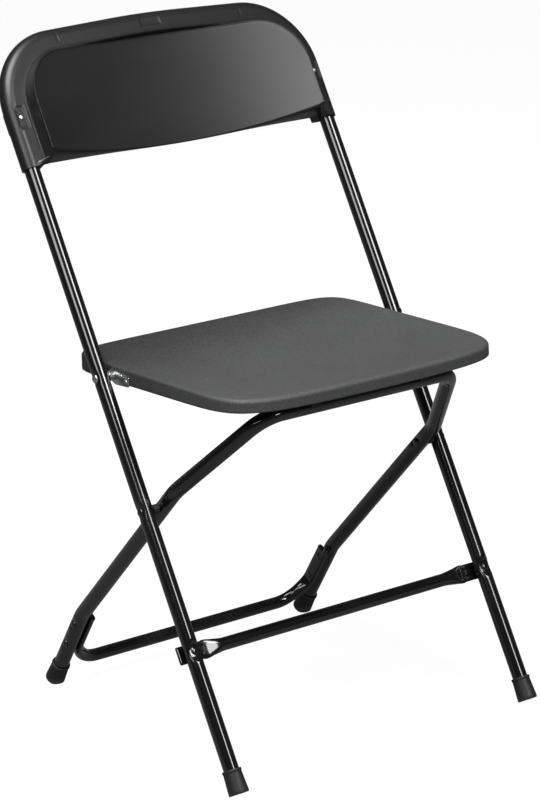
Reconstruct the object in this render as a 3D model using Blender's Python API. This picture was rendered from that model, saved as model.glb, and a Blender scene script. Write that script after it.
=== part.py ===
"""Folding chair: steel tube frames, a moulded seat pan and a moulded backrest.

World frame: +X is the sitter's left-to-right as seen from the front, -Y is the
front of the chair and +Z is up. The floor is z = 0. Lengths are in metres.

Three groups of pieces move against each other:
- the front frame, a long inverted U that also carries the backrest,
- the seat, which turns on the front frame's seat pivots,
- the rear frame, which turns on the leg pivots and whose crossbar slides
  along two rails under the seat.
"""
import math

import bmesh
import bpy
import numpy as np
from mathutils import Matrix, Vector

# ---------------------------------------------------------------- clearances
CONTACT_GAP = 0.0003        # between pieces that touch
PIN_GAP = 0.0003            # around a rivet's shank
CROSSBAR_GAP = 0.0015       # open sliding joint between the crossbar and the seat rails
RAIL_FIT_GAP = 0.0006       # between a rail's top and the pan above it
TUBE_WALL = 0.0012

# --------------------------------------------------------------- front frame
FRONT_FEET_Y = -0.2360      # where the front tubes' axes meet the floor
LEAN = math.radians(31.28)  # front tubes, from the vertical
FRAME_HALF = 0.2135         # middle of the chair to a front tube's axis
TUBE_R = 0.009
FRAME_BOW_R = 0.0785        # bends at the top of the front frame
FRAME_TOP_S = 0.8875        # where the bow's corners would meet the side tubes
FRAME_CROWN = 0.0080        # rise of the bow's middle above its corners
FRAME_CROWN_R = 1.4

SEAT_PIVOT_S = 0.4920       # places along the front tubes, from the floor
PIVOT_SPAN = 0.1586         # from the leg pivot up to the seat pivot
LEG_PIVOT_S = SEAT_PIVOT_S - PIVOT_SPAN
FRONT_BRACE_S = 0.1690

# ------------------------------------------------------------------ backrest
BACK_BOTTOM_S = 0.7440      # lower edge, up the front tubes
BACK_SLEEVE_WALL = 0.0022   # plastic around the tube
BACK_STEP = 0.0150          # tube's axis to the edge of the raised panel
BACK_STEP_WIDTH = 0.0020
BACK_WING = 0.0280          # how far the panel's ends stand out of the tubes' plane
BACK_HOLLOW = 0.0225        # how far its middle dips behind its ends
BACK_REAR = 0.0035          # rear face, behind the tubes' plane
BACK_RIVET_S = 0.8015

# ----------------------------------------------------------------- rear frame
REAR_SLOPE = math.radians(47.5)     # straight part of the rear legs, from the horizontal
REAR_FOOT_SLOPE = math.radians(59.0)
LEG_GAP = 0.0070            # between a front tube and a rear leg
SHOULDER_RISE = 0.0335      # leg pivot to the inward bend, along the leg
SHOULDER_IN = math.radians(22.0)
CROSSBAR_BEYOND = 0.0100    # how much farther the crossbar is from the leg pivot than the seat pivot is
CROSSBAR_RISE = PIVOT_SPAN + CROSSBAR_BEYOND
REAR_KNEE_HEIGHT = 0.1043   # lower bend's corner above the floor
SHOULDER_R = 0.045
CROSSBAR_R = 0.036
KNEE_R = 0.060

# ---------------------------------------------------------------------- braces
BRACE_R = 0.0075
BRACE_FLAT_HALF = 0.0021    # half the thickness of a brace's pressed end
BRACE_FLARE_HALF = 0.0105   # half the height of a brace's pressed end
FRONT_BRACE_OVERHANG = 0.0035
FRONT_BRACE_FLAT = 0.034    # length of the pressed end, inwards from its tip
FRONT_BRACE_TAPER = 0.026
REAR_BRACE_CORNER_R = 0.036
REAR_BRACE_FLAT_HALF = 0.0035
REAR_BRACE_FLARE_HALF = 0.0090
REAR_BRACE_FLAT = 0.052
REAR_BRACE_TAPER = 0.024
REAR_BRACE_TOP = 0.004      # brace's ends, below the knee, along the foot of the leg
REAR_BRACE_FOOT_CLEAR = 0.0180
REAR_RIVET_DROPS = {"upper": 0.016, "lower": 0.050}

# ------------------------------------------------------------------------ seat
SEAT_HALF_WIDTH = 0.1950
SEAT_HALF_DEPTH = 0.1660
SEAT_MIDDLE_AHEAD = 0.0722  # middle of the seat's upper edge plane, from the seat pivot
SEAT_MIDDLE_ABOVE = 0.0143
SEAT_SLOPE = math.radians(2.7)
SEAT_SKIN = 0.0036
SEAT_EDGE_FRONT = 0.0160    # height of the side wall at the front and at the rear
SEAT_EDGE_REAR = 0.0205
SEAT_DISH = 0.0080
SEAT_FRONT_CORNERS = 8.0    # squareness of the corners: 2 would be round
SEAT_REAR_CORNERS = 10.0
SEAT_FRONT_BOW = 0.0110     # how far the front edge's middle stands ahead of its ends
SEAT_EDGE_ROUND = 0.0050

# --------------------------------------------------------- fold and seat rails
SEAT_FOLDED = math.radians(8.0)     # seat against the front tubes when folded
REAR_FOLDED = math.radians(11.0)    # rear legs against the front tubes when folded
RAIL_X = 0.078
RAIL_HALF_WIDTH = 0.006
RAIL_REAR = 0.012
RAIL_STOP = 0.010
RAIL_STOP_DROP = 0.008

# ------------------------------------------------------------------- hardware
BRACKET_THICK = 0.0016
PIVOT_SHANK_R = 0.0030
PIVOT_HEAD_R = 0.0052
PIVOT_HEAD_H = 0.0024
SPACER_R = 0.0058
BRACKET_RIVET_R = 0.0014
BRACKET_RIVET_HEAD_R = 0.0028
BRACKET_RIVET_HEAD_H = 0.0012
BRACE_RIVET_R = 0.0025
BRACE_RIVET_HEAD_R = 0.0046
BRACE_RIVET_HEAD_H = 0.0020
FOOT_R = 0.0118
FOOT_HEIGHT = 0.0280
FOOT_SOLE = 0.0060
FOOT_PATCH = 0.0022         # how deep the floor cuts each cap's lower edge

# ---------------------------------------------------------------- resolution
TUBE_SIDES = 12
RIVET_SIDES = 12
PANEL_POINTS = 56
CAP_SIDES = 20
BEND_STEP = math.radians(11.5)

SIDES = {"left": -1.0, "right": 1.0}
X_AXIS = Vector((1.0, 0.0, 0.0))


# ----------------------------------------------------------- places and frames
UP_FRONT = Vector((0.0, math.sin(LEAN), math.cos(LEAN)))
OUT_FRONT = Vector((0.0, -math.cos(LEAN), math.sin(LEAN)))
UP_REAR = Vector((0.0, -math.cos(REAR_SLOPE), math.sin(REAR_SLOPE)))
OUT_REAR = Vector((0.0, -math.sin(REAR_SLOPE), -math.cos(REAR_SLOPE)))
DOWN_FOOT = Vector((0.0, math.cos(REAR_FOOT_SLOPE), -math.sin(REAR_FOOT_SLOPE)))
SEAT_FORWARD = Vector((0.0, -math.cos(SEAT_SLOPE), math.sin(SEAT_SLOPE)))
SEAT_UP = Vector((0.0, math.sin(SEAT_SLOPE), math.cos(SEAT_SLOPE)))

FRONT_FLOOR = Vector((0.0, FRONT_FEET_Y, 0.0))
LEG_PIVOT = FRONT_FLOOR + UP_FRONT * LEG_PIVOT_S
SEAT_PIVOT = FRONT_FLOOR + UP_FRONT * SEAT_PIVOT_S
REAR_HALF = FRAME_HALF - 2.0 * TUBE_R - LEG_GAP
REAR_KNEE = LEG_PIVOT - UP_REAR * (LEG_PIVOT.z - REAR_KNEE_HEIGHT) / UP_REAR.z
CROSSBAR = LEG_PIVOT + UP_REAR * CROSSBAR_RISE
SEAT_CENTRE = SEAT_PIVOT + Vector((0.0, -SEAT_MIDDLE_AHEAD, SEAT_MIDDLE_ABOVE))


def on_front_frame(x, along, out=0.0):
    """A point beside the front tubes: across, up the tubes, and out of their front."""
    return FRONT_FLOOR + X_AXIS * x + UP_FRONT * along + OUT_FRONT * out


def on_rear_leg(x, rise, out=0.0):
    """A point beside the straight rear legs, measured from the leg pivot."""
    return LEG_PIVOT + X_AXIS * x + UP_REAR * rise + OUT_REAR * out


def on_seat(x, forward, height):
    """A point on the seat, measured from the middle of its upper edge plane."""
    return SEAT_CENTRE + X_AXIS * x + SEAT_FORWARD * forward + SEAT_UP * height


# ------------------------------------------------- how the crossbar meets the seat
FOLDED_UP = CROSSBAR_RISE * math.cos(REAR_FOLDED) - PIVOT_SPAN
FOLDED_OUT = CROSSBAR_RISE * math.sin(REAR_FOLDED)
SLIDE_DEPTH = FOLDED_OUT * math.cos(SEAT_FOLDED) - FOLDED_UP * math.sin(SEAT_FOLDED)
OPEN_REACH = CROSSBAR - SEAT_PIVOT
SLIDE_FAR = math.sqrt(OPEN_REACH.length ** 2 - SLIDE_DEPTH ** 2)
SLIDE_OPEN = math.atan2(OPEN_REACH.dot(OUT_FRONT), OPEN_REACH.dot(UP_FRONT)) - math.atan2(
    SLIDE_DEPTH, SLIDE_FAR)
SLIDE_FORWARD = UP_FRONT * math.cos(SLIDE_OPEN) + OUT_FRONT * math.sin(SLIDE_OPEN)
SLIDE_DOWN = OUT_FRONT * math.cos(SLIDE_OPEN) - UP_FRONT * math.sin(SLIDE_OPEN)


def on_slide(x, forward, down):
    """A point beside the seat rails, measured from the seat pivot along the slide."""
    return SEAT_PIVOT + X_AXIS * x + SLIDE_FORWARD * forward + SLIDE_DOWN * down


# --------------------------------------------------------------------- bodies
def clear_scene():
    for old in list(bpy.data.objects):
        bpy.data.objects.remove(old, do_unlink=True)


def body_frame(name, place):
    """An empty on a body's joint axis, which carries the body's pieces."""
    empty = bpy.data.objects.new(name, None)
    empty.empty_display_size = 0.03
    empty.location = place
    bpy.context.scene.collection.objects.link(empty)
    return empty


def finish_material(name, colour, roughness, metallic):
    material = bpy.data.materials.new(name)
    material.use_nodes = True
    shader = material.node_tree.nodes["Principled BSDF"]
    shader.inputs["Base Color"].default_value = (*colour, 1.0)
    shader.inputs["Roughness"].default_value = roughness
    shader.inputs["Metallic"].default_value = metallic
    return material


def add_piece(name, shape, body, material):
    """A named piece from a shape in world metres, carried by its body's empty."""
    bmesh.ops.recalc_face_normals(shape, faces=shape.faces)
    mesh = bpy.data.meshes.new(name)
    shape.to_mesh(mesh)
    shape.free()
    mesh.transform(Matrix.Translation(-body.location))
    mesh.shade_smooth()
    mesh.set_sharp_from_angle(angle=math.radians(35.0))
    mesh.materials.append(material)
    piece = bpy.data.objects.new(name, mesh)
    bpy.context.scene.collection.objects.link(piece)
    piece.parent = body
    return piece


def cut(piece, shape):
    """Take a shape, given in world metres, away from a piece."""
    cutter = add_piece("cutter", shape, piece.parent, piece.data.materials[0])
    boolean = piece.modifiers.new("cut", "BOOLEAN")
    boolean.operation = "DIFFERENCE"
    boolean.solver = "EXACT"
    boolean.object = cutter
    graph = bpy.context.evaluated_depsgraph_get()
    result = bpy.data.meshes.new_from_object(piece.evaluated_get(graph))
    piece.modifiers.remove(boolean)
    piece.data = result
    bpy.data.objects.remove(cutter, do_unlink=True)


# --------------------------------------------------------------------- shapes
def skin_rings(rings):
    """A closed shape through rings of points, flat across its first and last ring."""
    shape = bmesh.new()
    loops = [[shape.verts.new(point) for point in ring] for ring in rings]
    for near, far in zip(loops, loops[1:]):
        for i in range(len(near)):
            j = (i + 1) % len(near)
            shape.faces.new((near[i], near[j], far[j], far[i]))
    shape.faces.new(loops[0])
    shape.faces.new(reversed(loops[-1]))
    return shape


def turned(profile, base, axis, sides=RIVET_SIDES):
    """A solid of revolution: (radius, distance) pairs, carried along an axis."""
    axis = axis.normalized()
    across = axis.orthogonal().normalized()
    shape = bmesh.new()
    line = [shape.verts.new(base + axis * along + across * radius) for radius, along in profile]
    edges = [shape.edges.new(pair) for pair in zip(line, line[1:])]
    bmesh.ops.spin(shape, geom=line + edges, cent=base, axis=axis, angle=2.0 * math.pi,
                   steps=sides, use_merge=True)
    bmesh.ops.remove_doubles(shape, verts=shape.verts, dist=0.000005)
    return shape


def rod(radius, start, end, sides=RIVET_SIDES):
    length = (end - start).length
    return turned([(0.0, 0.0), (radius, 0.0), (radius, length), (0.0, length)],
                  start, end - start, sides)


def rivet(start, end, shank, head, height):
    """A rivet between two faces: domed heads outside them, a shank between."""
    length = (end - start).length
    profile = [
        (0.0, -height), (head * 0.55, -height * 0.86), (head * 0.88, -height * 0.45), (head, 0.0),
        (shank, 0.0), (shank, length),
        (head, length), (head * 0.88, length + height * 0.45), (head * 0.55, length + height * 0.86),
        (0.0, length + height),
    ]
    return turned(profile, start, end - start)


def washer(inner, outer, start, end):
    """A plain ring around an axis."""
    length = (end - start).length
    return turned([(inner, 0.0), (outer, 0.0), (outer, length), (inner, length), (inner, 0.0)],
                  start, end - start)


def rounded_path(corners, radii):
    """A line through corners, each inner corner replaced by an arc of its own radius."""
    path = [corners[0]]
    for before, corner, after, radius in zip(corners, corners[1:], corners[2:], radii):
        arrive = (corner - before).normalized()
        leave = (after - corner).normalized()
        turn = arrive.angle(leave)
        setback = radius * math.tan(turn / 2.0)
        centre = corner - arrive * setback + (leave - arrive * arrive.dot(leave)).normalized() * radius
        start = corner - arrive * setback - centre
        side = arrive * radius
        steps = max(2, round(turn / BEND_STEP))
        for i in range(steps + 1):
            angle = turn * i / steps
            path.append(centre + start * math.cos(angle) + side * math.sin(angle))
    path.append(corners[-1])
    return path


def swept_tube(path, radius, wall=None):
    """A round bar along a path, or an open-ended tube where a wall is given."""
    curve = bpy.data.curves.new("sweep", "CURVE")
    curve.dimensions = "3D"
    curve.bevel_depth = radius
    curve.bevel_resolution = (TUBE_SIDES - 4) // 2
    curve.use_fill_caps = wall is None
    spline = curve.splines.new("POLY")
    spline.points.add(len(path) - 1)
    for point, place in zip(spline.points, path):
        point.co = (*place, 1.0)
    holder = bpy.data.objects.new("sweep", curve)
    bpy.context.scene.collection.objects.link(holder)
    if wall is not None:
        hollow = holder.modifiers.new("wall", "SOLIDIFY")
        hollow.thickness = wall
        hollow.offset = -1.0
    graph = bpy.context.evaluated_depsgraph_get()
    mesh = bpy.data.meshes.new_from_object(holder.evaluated_get(graph))
    bpy.data.objects.remove(holder, do_unlink=True)
    shape = bmesh.new()
    shape.from_mesh(mesh)
    bmesh.ops.remove_doubles(shape, verts=shape.verts, dist=0.000005)
    return shape


def blend_in(distance, start, length):
    """0 before start, 1 after start + length, and a smooth rise between."""
    t = min(max((distance - start) / length, 0.0), 1.0)
    return t * t * (3.0 - 2.0 * t)


def mix(first, second, share):
    return first + (second - first) * share


def pressed_bar(path, normal, flat_half, flare_half, flat_length, taper):
    """A round bar whose two ends are pressed flat: wide along normal, thin across it."""
    lengths = [0.0]
    for near, far in zip(path, path[1:]):
        lengths.append(lengths[-1] + (far - near).length)
    rings = []
    for i, centre in enumerate(path):
        ahead = path[min(i + 1, len(path) - 1)] - path[max(i - 1, 0)]
        across = normal.cross(ahead).normalized()
        from_end = min(lengths[i], lengths[-1] - lengths[i])
        roundness = blend_in(from_end, flat_length, taper)
        half = mix(flat_half, BRACE_R, roundness)
        tall = mix(flare_half, BRACE_R, roundness)
        power = mix(0.55, 1.0, roundness)
        ring = []
        for k in range(TUBE_SIDES):
            angle = 2.0 * math.pi * k / TUBE_SIDES
            c, s = math.cos(angle), math.sin(angle)
            ring.append(centre + across * math.copysign(abs(c) ** power, c) * half
                        + normal * math.copysign(abs(s) ** power, s) * tall)
        rings.append(ring)
    return skin_rings(rings)


def plate(outline, place, low_x, high_x):
    """A flat plate across X: outline pairs go through place(x, first, second)."""
    return skin_rings([[place(x, a, b) for a, b in outline] for x in (low_x, high_x)])


# ---------------------------------------------------------------- front frame
def foot_start(slope_from_vertical):
    """How far up a leg's axis its cap starts, so that the floor trims the cap's edge."""
    return (FOOT_R * math.sin(slope_from_vertical) - FOOT_PATCH) / math.cos(slope_from_vertical)


def foot_cap(name, body, floor_point, up, material):
    base = floor_point + up * foot_start(up.angle(Vector((0.0, 0.0, 1.0))))
    bore = TUBE_R + CONTACT_GAP
    profile = [
        (0.0, 0.0), (FOOT_R - 0.0012, 0.0), (FOOT_R, 0.0012), (FOOT_R - 0.0003, 0.0100),
        (FOOT_R - 0.0009, FOOT_HEIGHT - 0.0008), (FOOT_R - 0.0015, FOOT_HEIGHT),
        (bore, FOOT_HEIGHT), (bore, FOOT_SOLE), (0.0, FOOT_SOLE),
    ]
    shape = turned(profile, base, up, CAP_SIDES)
    bmesh.ops.bisect_plane(shape, geom=list(shape.verts) + list(shape.edges) + list(shape.faces),
                           dist=0.000001, plane_co=(0.0, 0.0, 0.0), plane_no=(0.0, 0.0, 1.0),
                           clear_inner=True)
    rim = [edge for edge in shape.edges if edge.is_boundary]
    bmesh.ops.edgeloop_fill(shape, edges=rim)
    return add_piece(name, shape, body, material)


def bow_plan(start):
    """The front frame's inverted U in its own plane, as (across, along) pairs."""
    corners = [
        Vector((FRAME_HALF, start, 0.0)), Vector((FRAME_HALF, FRAME_TOP_S, 0.0)),
        Vector((0.0, FRAME_TOP_S + FRAME_CROWN, 0.0)), Vector((-FRAME_HALF, FRAME_TOP_S, 0.0)),
        Vector((-FRAME_HALF, start, 0.0)),
    ]
    path = rounded_path(corners, [FRAME_BOW_R, FRAME_CROWN_R, FRAME_BOW_R])
    return [(point.x, point.y) for point in path]


def frame_bow(radius, wall, start):
    path = [on_front_frame(x, s) for x, s in bow_plan(start)]
    return swept_tube(path, radius, wall)


def front_frame_tube(body, material):
    start = foot_start(LEAN) + FOOT_SOLE + CONTACT_GAP
    tube = add_piece("front_frame_tube", frame_bow(TUBE_R, TUBE_WALL, start), body, material)
    reach = X_AXIS * (TUBE_R + 0.004)
    for sign in SIDES.values():
        for along in (LEG_PIVOT_S, SEAT_PIVOT_S):
            middle = on_front_frame(sign * FRAME_HALF, along)
            cut(tube, rod(PIVOT_SHANK_R + PIN_GAP, middle - reach, middle + reach))
        for along in (FRONT_BRACE_S, BACK_RIVET_S):
            cut(tube, rod(BRACE_RIVET_R + PIN_GAP,
                          on_front_frame(sign * FRAME_HALF, along, -TUBE_R - 0.004),
                          on_front_frame(sign * FRAME_HALF, along, TUBE_R + 0.004)))


def front_brace(body, material):
    tip = FRAME_HALF + TUBE_R + FRONT_BRACE_OVERHANG
    flat_out = -(TUBE_R + CONTACT_GAP + BRACE_FLAT_HALF)
    stations = [0.0, 0.012, FRONT_BRACE_FLAT]
    stations += [FRONT_BRACE_FLAT + FRONT_BRACE_TAPER * i / 5.0 for i in range(1, 6)]
    xs = [tip - station for station in stations]
    xs += [-x for x in reversed(xs)]
    path = []
    for x in xs:
        roundness = blend_in(tip - abs(x), FRONT_BRACE_FLAT, FRONT_BRACE_TAPER)
        path.append(on_front_frame(x, FRONT_BRACE_S, flat_out - 0.0022 * roundness))
    shape = pressed_bar(path, UP_FRONT, BRACE_FLAT_HALF, BRACE_FLARE_HALF,
                        FRONT_BRACE_FLAT, FRONT_BRACE_TAPER)
    brace = add_piece("front_brace", shape, body, material)
    for sign in SIDES.values():
        middle = on_front_frame(sign * FRAME_HALF, FRONT_BRACE_S, flat_out)
        reach = OUT_FRONT * (BRACE_FLAT_HALF + 0.003)
        cut(brace, rod(BRACE_RIVET_R + PIN_GAP, middle - reach, middle + reach))


def front_brace_rivet(side, body, material):
    x = SIDES[side] * FRAME_HALF
    back = -(TUBE_R + 2.0 * CONTACT_GAP + 2.0 * BRACE_FLAT_HALF)
    shape = rivet(on_front_frame(x, FRONT_BRACE_S, TUBE_R + CONTACT_GAP),
                  on_front_frame(x, FRONT_BRACE_S, back),
                  BRACE_RIVET_R, BRACE_RIVET_HEAD_R, BRACE_RIVET_HEAD_H)
    add_piece(f"front_brace_rivet_{side}", shape, body, material)


# ------------------------------------------------------------------- backrest
BACK_SLEEVE_R = TUBE_R + CONTACT_GAP + BACK_SLEEVE_WALL


def backrest_ring(out, lift):
    """A loop beside the bow, a distance outside its axis, closed along the lower edge."""
    plan = bow_plan(BACK_BOTTOM_S + lift)
    side = []
    for i, (x, s) in enumerate(plan):
        after = plan[min(i + 1, len(plan) - 1)]
        before = plan[max(i - 1, 0)]
        along = Vector((after[0] - before[0], after[1] - before[1], 0.0)).normalized()
        side.append((x + along.y * out, s - along.x * out))
    columns = 20
    reach = FRAME_HALF + out
    lower = [(-reach * math.cos(math.pi * i / columns), BACK_BOTTOM_S + lift)
             for i in range(1, columns)]
    return side + lower


def backrest_offsets(x, s, plan):
    """How far the backrest's front and rear faces stand out of the front tubes' plane."""
    span = FRAME_HALF - BACK_STEP
    panel = BACK_WING - BACK_HOLLOW * max(1.0 - (x / span) ** 2, 0.0)
    to_tube = min(math.hypot(x - px, s - ps) for px, ps in plan)
    inside = blend_in(to_tube, BACK_STEP - BACK_STEP_WIDTH, BACK_STEP_WIDTH)
    front = mix(BACK_SLEEVE_R, panel, inside)
    rear = mix(-BACK_SLEEVE_R, -BACK_REAR, inside)
    return front, rear


def fine_plan():
    """The bow as closely spaced (across, along) pairs, for measuring distances to it."""
    plan = bow_plan(BACK_BOTTOM_S - BACK_STEP)
    fine = []
    for (x, s), (next_x, next_s) in zip(plan, plan[1:]):
        pieces = max(1, round(math.hypot(next_x - x, next_s - s) / 0.002))
        fine += [(mix(x, next_x, i / pieces), mix(s, next_s, i / pieces)) for i in range(pieces)]
    return fine


def backrest_panel(body, material):
    plan = fine_plan()
    loops = [backrest_ring(BACK_SLEEVE_R - inset, lift) for inset, lift in (
        (0.0, 0.0), (0.0025, 0.0006), (0.8 * BACK_SLEEVE_R, 0.0012),
        (BACK_SLEEVE_R + BACK_STEP - BACK_STEP_WIDTH, 0.0018),
        (BACK_SLEEVE_R + BACK_STEP, 0.0022))]
    inner = loops[-1]
    middle_s = (BACK_BOTTOM_S + FRAME_TOP_S + FRAME_CROWN) / 2.0
    for share in (0.80, 0.50, 0.20):
        loops.append([(x * mix(0.75, 1.0, share), middle_s + (s - middle_s) * share)
                      for x, s in inner])
    front_rings = []
    rear_rings = []
    for number, loop in enumerate(loops):
        rounding = 0.7 * BACK_SLEEVE_WALL if number == 0 else 0.0
        offsets = [backrest_offsets(x, s, plan) for x, s in loop]
        front_rings.append([on_front_frame(x, s, front - rounding)
                            for (x, s), (front, rear) in zip(loop, offsets)])
        rear_rings.append([on_front_frame(x, s, rear + rounding)
                           for (x, s), (front, rear) in zip(loop, offsets)])
    shape = skin_rings(front_rings[::-1] + rear_rings)
    caps = [face for face in shape.faces if len(face.verts) > 4]
    bmesh.ops.triangulate(shape, faces=caps, ngon_method="BEAUTY")
    panel = add_piece("backrest_panel", shape, body, material)
    cut(panel, frame_bow(TUBE_R + CONTACT_GAP, None, BACK_BOTTOM_S - 0.03))
    for sign in SIDES.values():
        reach = BACK_SLEEVE_R + 0.003
        cut(panel, rod(BRACE_RIVET_R + PIN_GAP,
                       on_front_frame(sign * FRAME_HALF, BACK_RIVET_S, -reach),
                       on_front_frame(sign * FRAME_HALF, BACK_RIVET_S, reach)))


def backrest_rivet(side, body, material):
    x = SIDES[side] * FRAME_HALF
    face = BACK_SLEEVE_R + CONTACT_GAP
    shape = rivet(on_front_frame(x, BACK_RIVET_S, face), on_front_frame(x, BACK_RIVET_S, -face),
                  BRACE_RIVET_R, BRACE_RIVET_HEAD_R, BRACE_RIVET_HEAD_H)
    add_piece(f"backrest_rivet_{side}", shape, body, material)


# --------------------------------------------------------------- pivot hardware
def leg_pivot(side, body, steel, plastic):
    """The rivet that joins a front tube to a rear leg, and the spacer between them."""
    sign = SIDES[side]
    outer = on_front_frame(sign * (FRAME_HALF + TUBE_R + CONTACT_GAP), LEG_PIVOT_S)
    inner = on_front_frame(sign * (REAR_HALF - TUBE_R - CONTACT_GAP), LEG_PIVOT_S)
    add_piece(f"leg_pivot_rivet_{side}",
              rivet(outer, inner, PIVOT_SHANK_R, PIVOT_HEAD_R, PIVOT_HEAD_H), body, steel)
    add_piece(f"leg_pivot_spacer_{side}",
              washer(PIVOT_SHANK_R + PIN_GAP, SPACER_R,
                     on_front_frame(sign * (REAR_HALF + TUBE_R + CONTACT_GAP), LEG_PIVOT_S),
                     on_front_frame(sign * (FRAME_HALF - TUBE_R - CONTACT_GAP), LEG_PIVOT_S)),
              body, plastic)


def seat_pivot(side, body, steel):
    """The rivet that a seat bracket turns on, and the spacer beside the front tube."""
    sign = SIDES[side]
    plate_in = SEAT_HALF_WIDTH + CONTACT_GAP
    outer = on_front_frame(sign * (FRAME_HALF + TUBE_R + CONTACT_GAP), SEAT_PIVOT_S)
    inner = on_front_frame(sign * (plate_in - CONTACT_GAP), SEAT_PIVOT_S)
    add_piece(f"seat_pivot_rivet_{side}",
              rivet(outer, inner, PIVOT_SHANK_R, PIVOT_HEAD_R, PIVOT_HEAD_H), body, steel)
    add_piece(f"seat_pivot_spacer_{side}",
              washer(PIVOT_SHANK_R + PIN_GAP, SPACER_R,
                     on_front_frame(sign * (plate_in + BRACKET_THICK + CONTACT_GAP), SEAT_PIVOT_S),
                     on_front_frame(sign * (FRAME_HALF - TUBE_R - CONTACT_GAP), SEAT_PIVOT_S)),
              body, steel)


# ----------------------------------------------------------------- rear frame
def rear_floor_point(x):
    drop = REAR_KNEE.z / -DOWN_FOOT.z
    return REAR_KNEE + DOWN_FOOT * drop + X_AXIS * x


def rear_frame_tube(body, material):
    start = foot_start(DOWN_FOOT.angle(Vector((0.0, 0.0, -1.0)))) + FOOT_SOLE + CONTACT_GAP
    crossbar_half = REAR_HALF - (CROSSBAR_RISE - SHOULDER_RISE) * math.tan(SHOULDER_IN)
    right = [
        on_rear_leg(crossbar_half, CROSSBAR_RISE), on_rear_leg(REAR_HALF, SHOULDER_RISE),
        REAR_KNEE + X_AXIS * REAR_HALF, rear_floor_point(REAR_HALF) - DOWN_FOOT * start,
    ]
    left = [Vector((-point.x, point.y, point.z)) for point in reversed(right)]
    radii = [KNEE_R, SHOULDER_R, CROSSBAR_R, CROSSBAR_R, SHOULDER_R, KNEE_R]
    tube = add_piece("rear_frame_tube",
                     swept_tube(rounded_path(left + right, radii), TUBE_R, TUBE_WALL),
                     body, material)
    reach = X_AXIS * (TUBE_R + 0.003)
    for sign in SIDES.values():
        places = [(on_rear_leg(sign * REAR_HALF, 0.0), PIVOT_SHANK_R)]
        places += [(on_foot(sign * REAR_HALF, drop), BRACE_RIVET_R) for drop in REAR_RIVET_DROPS.values()]
        for middle, radius in places:
            cut(tube, rod(radius + PIN_GAP, middle - reach, middle + reach))


def on_foot(x, drop):
    """A point on the lower end of a rear leg, measured down from the knee."""
    return REAR_KNEE + DOWN_FOOT * drop + X_AXIS * x


def rear_brace(body, material):
    face = REAR_HALF - TUBE_R - CONTACT_GAP
    bottom_drop = (REAR_KNEE.z - REAR_BRACE_FOOT_CLEAR - BRACE_R) / -DOWN_FOOT.z
    side_x = face - BRACE_R
    top = REAR_BRACE_TOP
    corners = [on_foot(-side_x, top), on_foot(-side_x, bottom_drop),
               on_foot(side_x, bottom_drop), on_foot(side_x, top)]
    bends = rounded_path(corners, [REAR_BRACE_CORNER_R, REAR_BRACE_CORNER_R])
    start_leg = [bends[0] + DOWN_FOOT * d for d in (0.0, 0.012, 0.024, 0.038)]
    end_leg = [bends[-1] + DOWN_FOOT * d for d in (0.038, 0.024, 0.012, 0.0)]
    path = []
    for place in start_leg + bends[1:-1] + end_leg:
        from_top = (place - on_foot(math.copysign(side_x, place.x), top)).length
        roundness = blend_in(from_top, REAR_BRACE_FLAT, REAR_BRACE_TAPER)
        slip = (BRACE_R - REAR_BRACE_FLAT_HALF) * (1.0 - roundness)
        path.append(place + X_AXIS * math.copysign(slip, place.x))
    normal = X_AXIS.cross(DOWN_FOOT).normalized()
    shape = pressed_bar(path, normal, REAR_BRACE_FLAT_HALF, REAR_BRACE_FLARE_HALF,
                        REAR_BRACE_FLAT, REAR_BRACE_TAPER)
    brace = add_piece("rear_brace", shape, body, material)
    for sign in SIDES.values():
        for drop in REAR_RIVET_DROPS.values():
            middle = on_foot(sign * (face - REAR_BRACE_FLAT_HALF), drop)
            cut(brace, rod(BRACE_RIVET_R + PIN_GAP, middle - X_AXIS * 0.008, middle + X_AXIS * 0.008))
    return face - 2.0 * REAR_BRACE_FLAT_HALF


def rear_brace_rivets(side, body, material, inner_face):
    sign = SIDES[side]
    for place, drop in REAR_RIVET_DROPS.items():
        shape = rivet(on_foot(sign * (REAR_HALF + TUBE_R + CONTACT_GAP), drop),
                      on_foot(sign * (inner_face - CONTACT_GAP), drop),
                      BRACE_RIVET_R, BRACE_RIVET_HEAD_R, BRACE_RIVET_HEAD_H)
        add_piece(f"rear_brace_rivet_{side}_{place}", shape, body, material)


# ------------------------------------------------------------------------ seat
def seat_outline():
    """(across, forward) pairs round the seat, closest together where the outline turns."""
    angle = np.linspace(0.5 * np.pi, -0.5 * np.pi, 1201)
    c, s = np.cos(angle), np.sin(angle)
    power = 2.0 / np.where(s > 0.0, SEAT_FRONT_CORNERS, SEAT_REAR_CORNERS)
    x = SEAT_HALF_WIDTH * np.maximum(c, 0.0) ** power
    forward = SEAT_HALF_DEPTH * np.sign(s) * np.abs(s) ** power
    bow = SEAT_FRONT_BOW * (x / SEAT_HALF_WIDTH) ** 2
    forward -= bow * np.maximum(forward, 0.0) / SEAT_HALF_DEPTH
    step = np.hypot(np.diff(x), np.diff(forward))
    heading = np.unwrap(np.arctan2(np.diff(forward), np.diff(x)))
    turn = np.abs(np.diff(heading, append=heading[-1]))
    measure = np.concatenate([[0.0], np.cumsum(step / step.sum() + turn / turn.sum())])
    places = np.linspace(0.0, measure[-1], PANEL_POINTS // 2 + 1)
    right = list(zip(np.interp(places, measure, x), np.interp(places, measure, forward)))
    left = [(-x, forward) for x, forward in right[-2:0:-1]]
    return right + left


def seat_half_width(forward):
    """Half the seat's width at a distance ahead of its middle."""
    power = SEAT_FRONT_CORNERS if forward > 0.0 else SEAT_REAR_CORNERS
    return SEAT_HALF_WIDTH * (1.0 - abs(forward / SEAT_HALF_DEPTH) ** power) ** (1.0 / power)


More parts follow.
